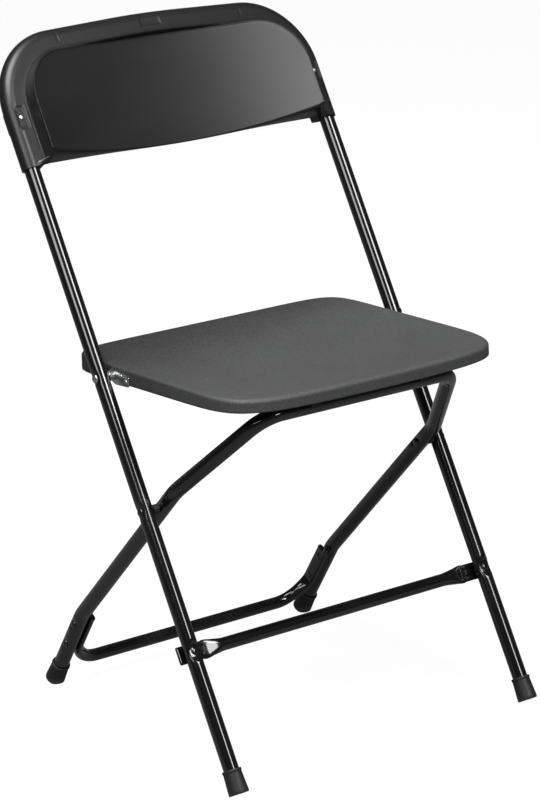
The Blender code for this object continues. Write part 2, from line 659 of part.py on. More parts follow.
def seat_height(x, forward):
    """Upper surface of the seat, shallowly dished."""
    across = max(1.0 - (x / SEAT_HALF_WIDTH) ** 2, 0.0)
    along = max(1.0 - (forward / SEAT_HALF_DEPTH) ** 2, 0.0)
    return -SEAT_DISH * across * along


def seat_edge(forward):
    """Height of the side wall, lower towards the front."""
    return mix(SEAT_EDGE_REAR, SEAT_EDGE_FRONT,
               (forward + SEAT_HALF_DEPTH) / (2.0 * SEAT_HALF_DEPTH))


def seat_ring(inset, height):
    """The seat's outline moved inwards, at a height that is a function of place."""
    ring = []
    for x, forward in seat_outline():
        x_in = x * (SEAT_HALF_WIDTH - inset) / SEAT_HALF_WIDTH
        forward_in = forward * (SEAT_HALF_DEPTH - inset) / SEAT_HALF_DEPTH
        ring.append(on_seat(x_in, forward_in, height(x_in, forward_in)))
    return ring


def seat_pan(body, material):
    insets = (0.145, 0.110, 0.078, 0.048, 0.024)
    rings = [seat_ring(inset, seat_height) for inset in insets]
    for i in range(4):
        angle = math.radians(30.0 * i)
        inset = SEAT_EDGE_ROUND * (1.0 - math.sin(angle))
        drop = SEAT_EDGE_ROUND * (1.0 - math.cos(angle))
        rings.append(seat_ring(inset, lambda x, f, d=drop: seat_height(x, f) - d))
    rings.append(seat_ring(0.0, lambda x, f: -seat_edge(f)))
    rings.append(seat_ring(SEAT_SKIN, lambda x, f: -seat_edge(f)))
    rings.append(seat_ring(SEAT_SKIN, lambda x, f: seat_height(x, f) - SEAT_SKIN - 0.003))
    rings.append(seat_ring(SEAT_SKIN + 0.003, lambda x, f: seat_height(x, f) - SEAT_SKIN))
    rings += [seat_ring(inset, lambda x, f: seat_height(x, f) - SEAT_SKIN)
              for inset in reversed(insets)]
    shape = skin_rings(rings)
    caps = [face for face in shape.faces if len(face.verts) > 4]
    bmesh.ops.triangulate(shape, faces=caps, ngon_method="BEAUTY")
    pan = add_piece("seat_pan", shape, body, material)
    pivot_forward, pivot_height = seat_pivot_place()
    for sign in SIDES.values():
        cut(pan, rod(PIVOT_HEAD_R + 0.0005,
                     on_seat(sign * (SEAT_HALF_WIDTH - 0.012), pivot_forward, pivot_height),
                     on_seat(sign * (SEAT_HALF_WIDTH + 0.004), pivot_forward, pivot_height)))
        for forward, height in bracket_rivet_places().values():
            cut(pan, rod(BRACKET_RIVET_R + PIN_GAP,
                         on_seat(sign * (SEAT_HALF_WIDTH - 0.012), forward, height),
                         on_seat(sign * (SEAT_HALF_WIDTH + 0.004), forward, height)))


def seat_pivot_place():
    """The seat pivot in the seat's own (forward, height) frame."""
    reach = SEAT_PIVOT - SEAT_CENTRE
    return reach.dot(SEAT_FORWARD), reach.dot(SEAT_UP)


def bracket_rivet_places():
    """Where a bracket's two rivets go, in the seat's (forward, height) frame."""
    forward, height = seat_pivot_place()
    return {
        "rear": (forward + 0.0150, height + 0.0005),
        "front": (forward + 0.0240, height - 0.0040),
    }


def seat_bracket(side, body, material):
    forward, height = seat_pivot_place()
    outline = [(forward + 0.0300, height + 0.0024), (forward - 0.0040, height + 0.0072)]
    for i in range(6):
        angle = math.radians(128.0 + 26.0 * i)
        outline.append((forward + 0.0082 * math.cos(angle), height + 0.0082 * math.sin(angle)))
    outline += [(forward + 0.0040, height - 0.0102), (forward + 0.0290, height - 0.0090)]
    sign = SIDES[side]
    near = sign * (SEAT_HALF_WIDTH + CONTACT_GAP)
    far = sign * (SEAT_HALF_WIDTH + CONTACT_GAP + BRACKET_THICK)
    bracket = add_piece(f"seat_bracket_{side}", plate(outline, on_seat, near, far), body, material)
    holes = [(forward, height, PIVOT_SHANK_R)]
    holes += [(f, h, BRACKET_RIVET_R) for f, h in bracket_rivet_places().values()]
    for f, h, radius in holes:
        cut(bracket, rod(radius + PIN_GAP, on_seat(near - sign * 0.003, f, h),
                         on_seat(far + sign * 0.003, f, h)))


def seat_bracket_rivets(side, body, material):
    sign = SIDES[side]
    for place, (forward, height) in bracket_rivet_places().items():
        shrink = (SEAT_HALF_WIDTH - SEAT_SKIN) / SEAT_HALF_WIDTH
        inner = seat_half_width(forward) * shrink - CONTACT_GAP
        outer = SEAT_HALF_WIDTH + 2.0 * CONTACT_GAP + BRACKET_THICK
        shape = rivet(on_seat(sign * outer, forward, height), on_seat(sign * inner, forward, height),
                      BRACKET_RIVET_R, BRACKET_RIVET_HEAD_R, BRACKET_RIVET_HEAD_H)
        add_piece(f"seat_bracket_rivet_{side}_{place}", shape, body, material)


def seat_rail(side, body, material):
    """A runner under the pan: its lower edge is the line the crossbar slides along."""
    x = SIDES[side] * RAIL_X
    down = SLIDE_DEPTH - TUBE_R - CROSSBAR_GAP
    stop = SLIDE_FAR + TUBE_R + CROSSBAR_GAP
    reaches = [mix(-RAIL_REAR, stop, i / 8.0) for i in range(9)] + [stop + RAIL_STOP]
    lower = []
    upper = []
    for reach in reaches:
        place = on_slide(x, reach, down) - SEAT_CENTRE
        forward = place.dot(SEAT_FORWARD)
        lower.append((forward, place.dot(SEAT_UP)))
        under = min(seat_height(x + offset, forward) for offset in (-RAIL_HALF_WIDTH, RAIL_HALF_WIDTH))
        upper.append((forward, under - SEAT_SKIN - RAIL_FIT_GAP))
    lip = [(f, h - RAIL_STOP_DROP) for f, h in lower[-2:]]
    outline = lower[:-1] + lip + upper[::-1]
    shape = plate(outline, on_seat, x - RAIL_HALF_WIDTH, x + RAIL_HALF_WIDTH)
    add_piece(f"seat_rail_{side}", shape, body, material)


# -------------------------------------------------------------------- assembly
def build():
    clear_scene()
    front = body_frame("front_frame", FRONT_FLOOR)
    seat = body_frame("seat", SEAT_PIVOT)
    rear = body_frame("rear_frame", LEG_PIVOT)

    paint = finish_material("black_paint", (0.018, 0.018, 0.019), 0.28, 0.0)
    seat_plastic = finish_material("seat_plastic", (0.045, 0.045, 0.047), 0.62, 0.0)
    back_plastic = finish_material("back_plastic", (0.030, 0.030, 0.032), 0.48, 0.0)
    rubber = finish_material("foot_rubber", (0.020, 0.020, 0.021), 0.70, 0.0)
    nylon = finish_material("black_nylon", (0.016, 0.016, 0.017), 0.50, 0.0)
    zinc = finish_material("zinc_plate", (0.60, 0.60, 0.61), 0.34, 1.0)

    front_frame_tube(front, paint)
    front_brace(front, paint)
    backrest_panel(front, back_plastic)
    rear_frame_tube(rear, paint)
    inner_face = rear_brace(rear, paint)
    seat_pan(seat, seat_plastic)
    for side, sign in SIDES.items():
        foot_cap(f"front_foot_{side}", front, on_front_frame(sign * FRAME_HALF, 0.0),
                 UP_FRONT, rubber)
        foot_cap(f"rear_foot_{side}", rear, rear_floor_point(sign * REAR_HALF),
                 -DOWN_FOOT, rubber)
        front_brace_rivet(side, front, paint)
        backrest_rivet(side, front, zinc)
        leg_pivot(side, front, zinc, nylon)
        seat_pivot(side, front, zinc)
        rear_brace_rivets(side, rear, paint, inner_face)
        seat_bracket(side, seat, zinc)
        seat_bracket_rivets(side, seat, zinc)
        seat_rail(side, seat, nylon)


build()
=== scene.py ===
# %% [markdown]
# A folding chair in looks
#
# The chair is two bent steel tubes that cross like an X, a moulded seat and a
# moulded backrest. The engineering model is loaded first and stays fixed. Each
# part that shows is then made again as a fine surface at the same place, rides
# on the same body, and hides the plain solid it stands for.
#
# World frame: +X to the right as seen from the front, -Y to the front, +Z up,
# in metres, with the floor at z = 0.

# %% Load the fixed frame
import math

import bpy
import numpy as np
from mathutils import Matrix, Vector


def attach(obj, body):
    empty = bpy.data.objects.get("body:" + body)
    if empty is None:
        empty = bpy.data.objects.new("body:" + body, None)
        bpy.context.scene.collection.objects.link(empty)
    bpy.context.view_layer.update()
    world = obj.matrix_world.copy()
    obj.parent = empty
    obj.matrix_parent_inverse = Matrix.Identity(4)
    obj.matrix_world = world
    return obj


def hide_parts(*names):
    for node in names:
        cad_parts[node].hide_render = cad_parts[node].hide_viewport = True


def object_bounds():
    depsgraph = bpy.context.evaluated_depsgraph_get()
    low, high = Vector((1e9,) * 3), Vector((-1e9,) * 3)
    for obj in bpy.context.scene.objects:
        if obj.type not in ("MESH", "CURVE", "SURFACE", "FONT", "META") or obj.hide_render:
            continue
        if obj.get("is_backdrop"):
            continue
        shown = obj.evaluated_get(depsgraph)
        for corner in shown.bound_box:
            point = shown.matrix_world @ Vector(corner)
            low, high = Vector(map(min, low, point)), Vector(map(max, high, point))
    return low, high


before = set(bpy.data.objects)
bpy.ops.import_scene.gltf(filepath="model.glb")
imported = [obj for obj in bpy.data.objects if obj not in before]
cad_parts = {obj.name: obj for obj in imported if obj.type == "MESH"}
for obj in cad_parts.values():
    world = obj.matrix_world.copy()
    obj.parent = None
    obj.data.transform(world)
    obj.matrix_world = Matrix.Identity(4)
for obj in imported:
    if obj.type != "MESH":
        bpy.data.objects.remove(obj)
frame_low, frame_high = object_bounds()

# %% [markdown]
# Everything on the chair lies on one of four planes: the plane of the front
# tubes, the plane of the rear legs, the plane of their lower ends, and the
# seat. Each plane gets a function that turns distances in that plane into
# points in the world, so that a shape can be written in the terms of the
# person who bends the tube: so far across, so far along, so far out.

# %% Planes of the chair
def direction(across, ahead, up):
    vector = np.array((across, ahead, up), float)
    return vector / np.linalg.norm(vector)


LEAN = math.radians(31.28)          # front tubes, from the vertical
REAR_SLOPE = math.radians(47.5)     # rear legs, from the horizontal
FOOT_SLOPE = math.radians(59.0)     # lower ends of the rear legs
SEAT_SLOPE = math.radians(2.7)
TUBE_R = 0.009
GAP = 0.0003                        # air left between pieces that lie together
FRONT_HALF = 0.2135                 # middle of the chair to a front tube's axis
REAR_HALF = 0.1885

X_AXIS = direction(1, 0, 0)
UP_FRONT = direction(0, math.sin(LEAN), math.cos(LEAN))
OUT_FRONT = direction(0, -math.cos(LEAN), math.sin(LEAN))
UP_REAR = direction(0, -math.cos(REAR_SLOPE), math.sin(REAR_SLOPE))
OUT_REAR = direction(0, -math.sin(REAR_SLOPE), -math.cos(REAR_SLOPE))
DOWN_FOOT = direction(0, math.cos(FOOT_SLOPE), -math.sin(FOOT_SLOPE))
OUT_FOOT = np.cross(X_AXIS, DOWN_FOOT)
SEAT_FORWARD = direction(0, -math.cos(SEAT_SLOPE), math.sin(SEAT_SLOPE))
SEAT_UP = direction(0, math.sin(SEAT_SLOPE), math.cos(SEAT_SLOPE))

FRONT_FLOOR = np.array((0.0, -0.2360, 0.0))
LEG_PIVOT_S = 0.3334                # places along the front tubes, from the floor
SEAT_PIVOT_S = 0.4920
FRONT_BRACE_S = 0.1690
BACK_RIVET_S = 0.8015
KNEE_DROP = 0.2450                  # leg pivot down to the knee, along a rear leg
SEAT_BEHIND = 0.1833                # front feet back to the seat's middle
SEAT_HEIGHT = 0.4348
LEG_PIVOT = FRONT_FLOOR + UP_FRONT * LEG_PIVOT_S
REAR_KNEE = LEG_PIVOT - UP_REAR * KNEE_DROP
SEAT_CENTRE = FRONT_FLOOR + np.array((0.0, SEAT_BEHIND, SEAT_HEIGHT))


def in_plane(origin, first, second, third):
    """A function that adds three distances along three directions to an origin."""
    def place(a, b, c=0.0):
        a, b, c = np.broadcast_arrays(*(np.asarray(v, float) for v in (a, b, c)))
        return origin + a[..., None] * first + b[..., None] * second + c[..., None] * third
    return place


on_front = in_plane(FRONT_FLOOR, X_AXIS, UP_FRONT, OUT_FRONT)
on_rear = in_plane(LEG_PIVOT, X_AXIS, UP_REAR, OUT_REAR)
on_foot = in_plane(REAR_KNEE, X_AXIS, DOWN_FOOT, OUT_FOOT)
on_seat = in_plane(SEAT_CENTRE, X_AXIS, SEAT_FORWARD, SEAT_UP)
SIDES = {"left": -1.0, "right": 1.0}
print("leg pivot at", LEG_PIVOT.round(4), "rear knee at", REAR_KNEE.round(4))

# %% [markdown]
# A surface here is a grid of points: rows along the piece and columns round
# it. One function makes a mesh from such a grid. It closes the seam where the
# columns come back to the start, puts a fan of triangles on each open end, and
# turns the faces outwards by the sign of the enclosed volume.

# %% From a grid of points to a mesh
SHARP_ANGLE = math.radians(38.0)    # edges that turn more than this stay sharp


def smooth(value, start, end):
    """0 before start, 1 after end, and a soft S between: 3t^2 - 2t^3."""
    t = np.clip((np.asarray(value, float) - start) / (end - start), 0.0, 1.0)
    return t * t * (3.0 - 2.0 * t)


def mix(first, second, share):
    return first + (second - first) * share


def grid_faces(rows, columns, closed_rows=False):
    """Quads between neighbouring rows and columns; columns always come round."""
    row = np.arange(rows if closed_rows else rows - 1)[:, None]
    column = np.arange(columns)[None, :]
    ahead = (row + 1) % rows
    beside = (column + 1) % columns
    corners = (row * columns + column, row * columns + beside,
               ahead * columns + beside, ahead * columns + column)
    return np.stack(np.broadcast_arrays(*corners), -1).reshape(-1, 4)


def fan_faces(start, columns, hub, turned):
    """Triangles from the ring that begins at a vertex number to a hub vertex."""
    column = np.arange(columns)
    beside = (column + 1) % columns
    ring = (beside, column) if turned else (column, beside)
    return np.stack([start + ring[0], start + ring[1], np.full(columns, hub)], -1)


def mesh_from(name, points, quads, triangles):
    """A mesh object from whole arrays, with its faces pointing outwards."""
    if signed_volume(points, quads, triangles) < 0.0:
        quads = quads[:, ::-1]
        triangles = triangles[:, ::-1]
    corners = np.concatenate([quads.ravel(), triangles.ravel()]).astype(np.int32)
    sizes = np.concatenate([np.full(len(quads), 4), np.full(len(triangles), 3)])
    starts = np.concatenate([[0], np.cumsum(sizes)[:-1]]).astype(np.int32)
    mesh = bpy.data.meshes.new(name)
    mesh.vertices.add(len(points))
    mesh.vertices.foreach_set("co", points.astype(np.float32).ravel())
    mesh.loops.add(len(corners))
    mesh.loops.foreach_set("vertex_index", corners)
    mesh.polygons.add(len(sizes))
    mesh.polygons.foreach_set("loop_start", starts)
    mesh.update(calc_edges=True)
    mesh.validate()
    mesh.shade_smooth()
    mesh.set_sharp_from_angle(angle=SHARP_ANGLE)
    piece = bpy.data.objects.new(name, mesh)
    bpy.context.scene.collection.objects.link(piece)
    return piece


def signed_volume(points, quads, triangles):
    """Sum of the tetrahedra from the origin to each face, positive if they face out."""
    flat = np.concatenate([quads[:, [0, 1, 2]], quads[:, [0, 2, 3]], triangles])
    a, b, c = (points[flat[:, i]] for i in range(3))
    return float(np.einsum("ij,ij->i", a, np.cross(b, c)).sum()) / 6.0


def surface(name, points, closed_rows=False):
    """A closed piece from a (rows, columns, 3) grid; its two ends are fanned shut."""
    rows, columns = points.shape[:2]
    flat = points.reshape(-1, 3)
    quads = grid_faces(rows, columns, closed_rows)
    triangles = np.zeros((0, 3), int)
    if not closed_rows:
        hubs = np.stack([points[0].mean(0), points[-1].mean(0)])
        last = (rows - 1) * columns
        triangles = np.concatenate([fan_faces(0, columns, len(flat), True),
                                    fan_faces(last, columns, len(flat) + 1, False)])
        flat = np.concatenate([flat, hubs])
    return mesh_from(name, flat, quads, triangles)


MADE = []


def finish_piece(piece, body, material, replaced=()):
    """Give a piece its finish, let it ride on its body, and hide what it stands for."""
    piece.data.materials.clear()
    piece.data.materials.append(material)
    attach(piece, body)
    if replaced:
        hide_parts(*replaced)
    MADE.append(piece.name)
    return piece


print("edges stay sharp above", round(math.degrees(SHARP_ANGLE)), "degrees")

# %% [markdown]
# A finish is a small network of nodes. To write it like arithmetic, each
# socket is wrapped in a small class whose +, - and * add Math nodes, and every
# other node comes from one method that takes its type, its settings and its
# inputs.

# %% Writing a finish as arithmetic
class Signal:
    """A socket that carries a number or a colour; arithmetic on it adds Math nodes."""

    def __init__(self, finish, socket):
        self.finish = finish
        self.socket = socket

    def math(self, operation, first, second):
        return self.finish.node("ShaderNodeMath", {"operation": operation}, {0: first, 1: second})

    def __add__(self, other):
        return self.math("ADD", self, other)

    def __sub__(self, other):
        return self.math("SUBTRACT", self, other)

    def __mul__(self, other):
        return self.math("MULTIPLY", self, other)

    def __radd__(self, other):
        return self.math("ADD", other, self)

    def __rsub__(self, other):
        return self.math("SUBTRACT", other, self)

    def __rmul__(self, other):
        return self.math("MULTIPLY", other, self)


class Finish:
    """A material being written: one Principled shader and the nodes that feed it."""

    def __init__(self, name):
        self.material = bpy.data.materials.new(name)
        self.material.use_nodes = True
        self.nodes = self.material.node_tree.nodes
        self.links = self.material.node_tree.links
        self.shader = self.nodes["Principled BSDF"]
        self.place = self.node("ShaderNodeTexCoord", {}, {}, "Object")

    def node(self, kind, settings, inputs, output=0):
        """Add a node: settings first, then a value or a link for each input."""
        made = self.nodes.new(kind)
        for key, value in settings.items():
            setattr(made, key, value)
        for key, value in inputs.items():
            self.feed(made.inputs[key], value)
        return Signal(self, made.outputs[output])

    def feed(self, socket, value):
        if isinstance(value, Signal):
            self.links.new(value.socket, socket)
        else:
            socket.default_value = value

    def set(self, **values):
        """Feed the shader's own sockets, named with _ for a space."""
        for key, value in values.items():
            self.feed(self.shader.inputs[key.replace("_", " ")], value)

    def stretched(self, scale):
        """The piece's own coordinates, scaled differently along X, Y and Z."""
        return self.node("ShaderNodeMapping", {}, {"Vector": self.place, "Scale": scale})

    def noise(self, scale, detail=2.0, roughness=0.5, place=None):
        inputs = {"Vector": place or self.place, "Scale": scale, "Detail": detail,
                  "Roughness": roughness}
        return self.node("ShaderNodeTexNoise", {}, inputs)

    def cells(self, scale, output="Distance"):
        return self.node("ShaderNodeTexVoronoi", {"feature": "F1"},
                         {"Vector": self.place, "Scale": scale}, output)

    def between(self, value, low, high):
        """A signal as a share: 0 at low, 1 at high, a soft S between and held beyond."""
        inputs = {"Value": value, "From Min": low, "From Max": high}
        return self.node("ShaderNodeMapRange", {"interpolation_type": "SMOOTHSTEP"}, inputs)

    def blend(self, share, first, second):
        """A colour between two colours."""
        return self.node("ShaderNodeMix", {"data_type": "RGBA"},
                         {0: share, 6: first, 7: second}, 2)

    def along(self, axis):
        """A place's distance from the chair's middle along X or Y, or its height along Z."""
        return self.node("ShaderNodeSeparateXYZ", {}, {0: self.place}, "XYZ".index(axis))

    def bump(self, height, distance, strength):
        inputs = {"Height": height, "Distance": distance, "Strength": strength}
        return self.node("ShaderNodeBump", {}, inputs)


def grey(level, warmth=0.0):
    """An almost neutral colour: a little more red than blue where warmth is positive."""
    return (level * (1.0 + warmth), level, level * (1.0 - warmth), 1.0)


print("a warm grey:", grey(0.5, 0.1))

# %% [markdown]
# The tubes are powder coated: a gloss black skin, baked on, which never lies
# quite flat: it has a very slight orange peel and a slow waviness.
# Where feet and stacked chairs rub, low on the legs, it turns a little greyer
# and duller, and thin scratches run round the tube.

# %% Black powder coat
def powder_coat(name, gloss=0.10, level=0.004):
    f = Finish(name)
    patches = f.noise(9.0, 4.0, 0.6)
    peel = f.noise(620.0, 2.0)
    waves = f.noise(150.0, 2.0)
    low_down = 1.0 - f.between(f.along("Z"), 0.02, 0.16)
    scratch = f.between(f.noise(70.0, 3.0, 0.6, f.stretched((1.0, 1.0, 14.0))), 0.66, 0.72)
    worn = f.between(patches, 0.46, 0.72) * (0.25 + 0.6 * low_down)
    dust = worn + 0.35 * scratch * (0.15 + low_down)
    f.set(Base_Color=f.blend(dust, grey(level), grey(level * 2.6, 0.03)),
          Roughness=gloss + 0.10 * patches + 0.22 * dust,
          Coat_Weight=0.95 - 0.35 * worn,
          Coat_Roughness=0.05, IOR=1.5,
          Normal=f.bump(0.6 * peel + 0.9 * waves, 0.00004, 0.04))
    return f.material


BLACK_PAINT = powder_coat("black_powder_coat")
print("finish:", BLACK_PAINT.name)

# %% [markdown]
# The seat is moulded plastic with a pebble grain pressed into it by the mould.
# The grain is small cells with soft valleys between them, over a much finer tooth. Some patches are
# polished. The colour is painted paler towards the front and the right and darker towards the rear
# and the left: a painted sheen and painted shade that stand in for how light falls on the seat.

# %% Grained plastic for the seat
def grained_plastic(name, level, grain_scale, grain_depth, roughness):
    f = Finish(name)
    broad = f.noise(7.0, 4.0, 0.62)
    mottle = f.noise(55.0, 4.0, 0.65)
    pebbles = f.between(f.cells(grain_scale), 0.05, 0.62)
    tooth = f.noise(grain_scale * 3.1, 3.0, 0.6)
    polish = f.between(broad, 0.42, 0.68)
    # Painted sheen and painted shade: the colour is paler towards the front and the right and
    # darker towards the rear and the left.
    painted_sheen_and_shade = f.between(0.75 * f.along("Y") - 0.25 * f.along("X") + 0.05 * broad, 0.115, 0.0)
    valley = pebbles * 0.55 + tooth * 0.25
    grain = f.between(f.cells(grain_scale * 0.42), 0.10, 0.75)
    tone = 0.55 * painted_sheen_and_shade + 0.16 * mottle + 0.10 * broad + 0.16 * valley + 0.26 * grain
    dark = grey(level * 0.22)
    pale = grey(level * 1.36, -0.01)
    f.set(Base_Color=f.blend(tone, dark, pale),
          Roughness=roughness + 0.10 * (valley - polish) + 0.05 * mottle,
          Specular_IOR_Level=0.34,
          Normal=f.bump(0.5 * (1.0 - pebbles) + 0.2 * tooth + 0.6 * grain, grain_depth, 0.7))
    return f.material


SEAT_PLASTIC = grained_plastic("seat_grained_plastic", 0.043, 780.0, 0.00016, 0.50)
print("finish:", SEAT_PLASTIC.name)

# %% [markdown]
# The backrest comes from another mould, nearly smooth. It has a satin skin, a
# trace of flow from the moulding that clouds its gloss, and a few hairline
# marks that run across, where backs and coats have rubbed it.

# %% Satin plastic for the backrest
def satin_plastic(name, level, roughness):
    f = Finish(name)
    flow = f.noise(11.0, 3.0, 0.55, f.stretched((0.45, 1.0, 1.7)))
    skin = f.noise(1500.0, 3.0, 0.6)
    fine = f.noise(320.0, 3.0, 0.6)
    marks = f.between(f.noise(60.0, 4.0, 0.7, f.stretched((0.8, 12.0, 12.0))), 0.64, 0.74)
    tone = 0.55 * flow + 0.25 * fine + 0.35 * marks
    f.set(Base_Color=f.blend(tone, grey(level * 0.72), grey(level * 1.45, -0.01)),
          Roughness=roughness + 0.10 * flow + 0.10 * marks - 0.06 * fine,
          Specular_IOR_Level=0.48,
          Normal=f.bump(0.55 * skin + 0.5 * fine - 0.4 * marks, 0.00008, 0.5))
    return f.material


BACK_PLASTIC = satin_plastic("back_satin_plastic", 0.009, 0.33)
NYLON = satin_plastic("black_nylon_moulding", 0.014, 0.44)
print("finish:", BACK_PLASTIC.name, NYLON.name)

# %% [markdown]
# The foot caps are black rubber. New rubber is dark and faintly glossy, and
# the floor scuffs it: grey, dull and slightly rough up to a finger's width
# above the floor.

# %% Rubber for the foot caps
def scuffed_rubber(name):
    f = Finish(name)
    broad = f.noise(90.0, 4.0, 0.6)
    tooth = f.noise(1300.0, 3.0, 0.6)
    near_floor = 1.0 - f.between(f.along("Z"), 0.001, 0.014)
    scuff = f.between(near_floor + 0.7 * broad, 0.62, 1.25)
    f.set(Base_Color=f.blend(scuff, grey(0.0135), grey(0.055, 0.05)),
          Roughness=0.40 + 0.16 * broad + 0.28 * scuff,
          Specular_IOR_Level=0.45,
          Normal=f.bump(tooth + 0.6 * broad, 0.00016, 0.4))
    return f.material


RUBBER = scuffed_rubber("foot_cap_rubber")
print("finish:", RUBBER.name)

# %% [markdown]
# Rivets and brackets are zinc plated. The plating grows in small crystals, so
# its brightness steps from patch to patch, it is rubbed in one direction by
# the rolling mill, and it dulls to a soft grey in spots.

# %% Zinc plate for rivets and brackets
def zinc_plate(name, level=0.58, roughness=0.24):
    f = Finish(name)
    spangle = f.node("ShaderNodeSeparateColor", {}, {0: f.cells(420.0, "Color")})
    rubbed = f.noise(900.0, 2.0, 0.6, f.stretched((0.08, 1.0, 1.0)))
    dull = f.between(f.noise(160.0, 4.0, 0.65), 0.50, 0.72)
    tone = 0.55 * spangle + 0.45 * rubbed
    bright = f.blend(tone, grey(level * 0.80, -0.01), grey(level * 1.25, -0.015))
    f.set(Base_Color=f.blend(dull * 0.8, bright, grey(level * 0.52, 0.03)),
          Metallic=1.0,
          Roughness=roughness + 0.12 * tone + 0.26 * dull,
          Normal=f.bump(0.6 * rubbed + 0.4 * spangle + 0.5 * dull, 0.00006, 0.5))
    return f.material


ZINC = zinc_plate("zinc_plated_steel")
print("finish:", ZINC.name)

# %% [markdown]
# A bent tube is a circle carried along a path. The path is a line through a
# few corners with each corner replaced by an arc, as a bending machine does
# it, then read at even steps. Where a rivet goes through, the tube is pressed
# in, so each rivet sits in an oval dimple: those are pushed in afterwards,
# over the whole array of points at once.

# %% Paths and tubes
def circle(sides, start=0.0):
    """Cosines and sines of even angles once round."""
    angle = np.linspace(0.0, 2.0 * math.pi, sides, endpoint=False) + start
    return np.cos(angle), np.sin(angle)


def bent_path(corners, radii, step):
    """Even points on a line through corners, each bend an arc of its own radius."""
    bits = [corners[0][None]]
    for before, corner, after, radius in zip(corners, corners[1:], corners[2:], radii):
        arrive = (corner - before) / np.linalg.norm(corner - before)
        leave = (after - corner) / np.linalg.norm(after - corner)
        turn = math.acos(float(arrive @ leave))
        setback = radius * math.tan(turn / 2.0)
        inward = leave - arrive * float(arrive @ leave)
        inward = inward / np.linalg.norm(inward)
        angle = np.linspace(0.0, turn, 24)[:, None]
        start = corner - arrive * setback
        bits.append(start + radius * (arrive * np.sin(angle) + inward * (1.0 - np.cos(angle))))
    bits.append(corners[-1][None])
    line = np.concatenate(bits)
    travelled = np.concatenate([[0.0], np.cumsum(np.linalg.norm(np.diff(line, axis=0), axis=1))])
    even = np.linspace(0.0, travelled[-1], int(travelled[-1] / step) + 2)
    return np.stack([np.interp(even, travelled, line[:, i]) for i in range(3)], -1)


def square_to(path, reference):
    """Two directions square to the path at each point, the first nearest the reference."""
    along = np.gradient(path, axis=0)
    along /= np.linalg.norm(along, axis=1, keepdims=True)
    first = reference - along * (along @ reference)[:, None]
    first /= np.linalg.norm(first, axis=1, keepdims=True)
    return first, np.cross(along, first)


def carried(path, reference, a, b):
    """Rings carried along a path: path + a . first + b . second."""
    first, second = square_to(path, reference)
    return path[:, None] + a[..., None] * first[:, None] + b[..., None] * second[:, None]


def tube_points(path, reference, radius, sides=40):
    c, s = circle(sides)
    return carried(path, reference, radius * c[None], radius * s[None])


def dimple(points, centre, axis, out, long, wide, depth):
    """Press an oval into the side of a tube that faces out: depth times a soft-edged oval."""
    reach = points - centre
    across = np.cross(axis, out)
    oval = np.sqrt((reach @ axis / long) ** 2 + (reach @ across / wide) ** 2)
    facing = smooth(reach @ out, 0.0, 0.003) * (np.abs(reach @ out) < 0.02)
    amount = depth * (1.0 - smooth(oval, 0.45, 1.15)) * facing
    return points - amount[..., None] * out


print("tubes are", round(2000.0 * TUBE_R), "mm thick")

# %% [markdown]
# The front frame is one tube, a tall upside-down U. Each leg is dimpled at the
# front for the brace rivet, and on its outer side for the leg pivot and the
# seat pivot. The bow at the top runs inside the backrest.

# %% Front frame tube
FRAME_TOP_S = 0.8875
FRAME_CROWN = 0.0080
BOW_R = 0.0785
CROWN_R = 1.4                       # the top is very slightly arched
TUBE_START = 0.0125                 # where the tubes end inside the foot caps
BRACE_DIMPLE = (0.0125, 0.0085, 0.0030)     # half length, half width, depth
LEG_DIMPLE = (0.0120, 0.0070, 0.0020)
SEAT_DIMPLE = (0.0100, 0.0066, 0.0012)


def bow_path(start, step=0.0025):
    corners = [on_front(FRONT_HALF, start), on_front(FRONT_HALF, FRAME_TOP_S),
               on_front(0.0, FRAME_TOP_S + FRAME_CROWN),
               on_front(-FRONT_HALF, FRAME_TOP_S), on_front(-FRONT_HALF, start)]
    return bent_path(corners, [BOW_R, CROWN_R, BOW_R], step)


points = tube_points(bow_path(TUBE_START), OUT_FRONT, TUBE_R)
for sign in SIDES.values():
    outward = X_AXIS * sign
    for up, facing, sizes in ((FRONT_BRACE_S, OUT_FRONT, BRACE_DIMPLE),
                              (LEG_PIVOT_S, outward, LEG_DIMPLE),
                              (SEAT_PIVOT_S, outward, SEAT_DIMPLE)):
        centre = on_front(sign * FRONT_HALF, up)
        points = dimple(points, centre, UP_FRONT, facing, *sizes)
front_tube = finish_piece(surface("front_tube", points), "front_frame", BLACK_PAINT,
                          ["front_frame_tube"])
print("front tube:", len(front_tube.data.vertices), "points")

# %% [markdown]
# The rear frame is another tube: two legs with a slight knee above the feet,
# shoulders that come inwards above the leg pivot, and a crossbar that slides
# under the seat as the chair folds.

# %% Rear frame tube
SHOULDER_RISE = 0.0335
CROSSBAR_RISE = 0.1686
SHOULDER_IN = math.radians(22.0)
CROSSBAR_HALF = REAR_HALF - (CROSSBAR_RISE - SHOULDER_RISE) * math.tan(SHOULDER_IN)
FLOOR_DROP = REAR_KNEE[2] / math.sin(FOOT_SLOPE)    # knee to the floor, along the foot
REAR_BENDS = [0.060, 0.045, 0.036]  # bend radii at the knee, shoulder and crossbar
RIVET_DROPS = {"upper": 0.016, "lower": 0.050}
LOW_DIMPLE = (0.0085, 0.0062, 0.0016)
PIVOT_DIMPLE = (0.0110, 0.0066, 0.0016)

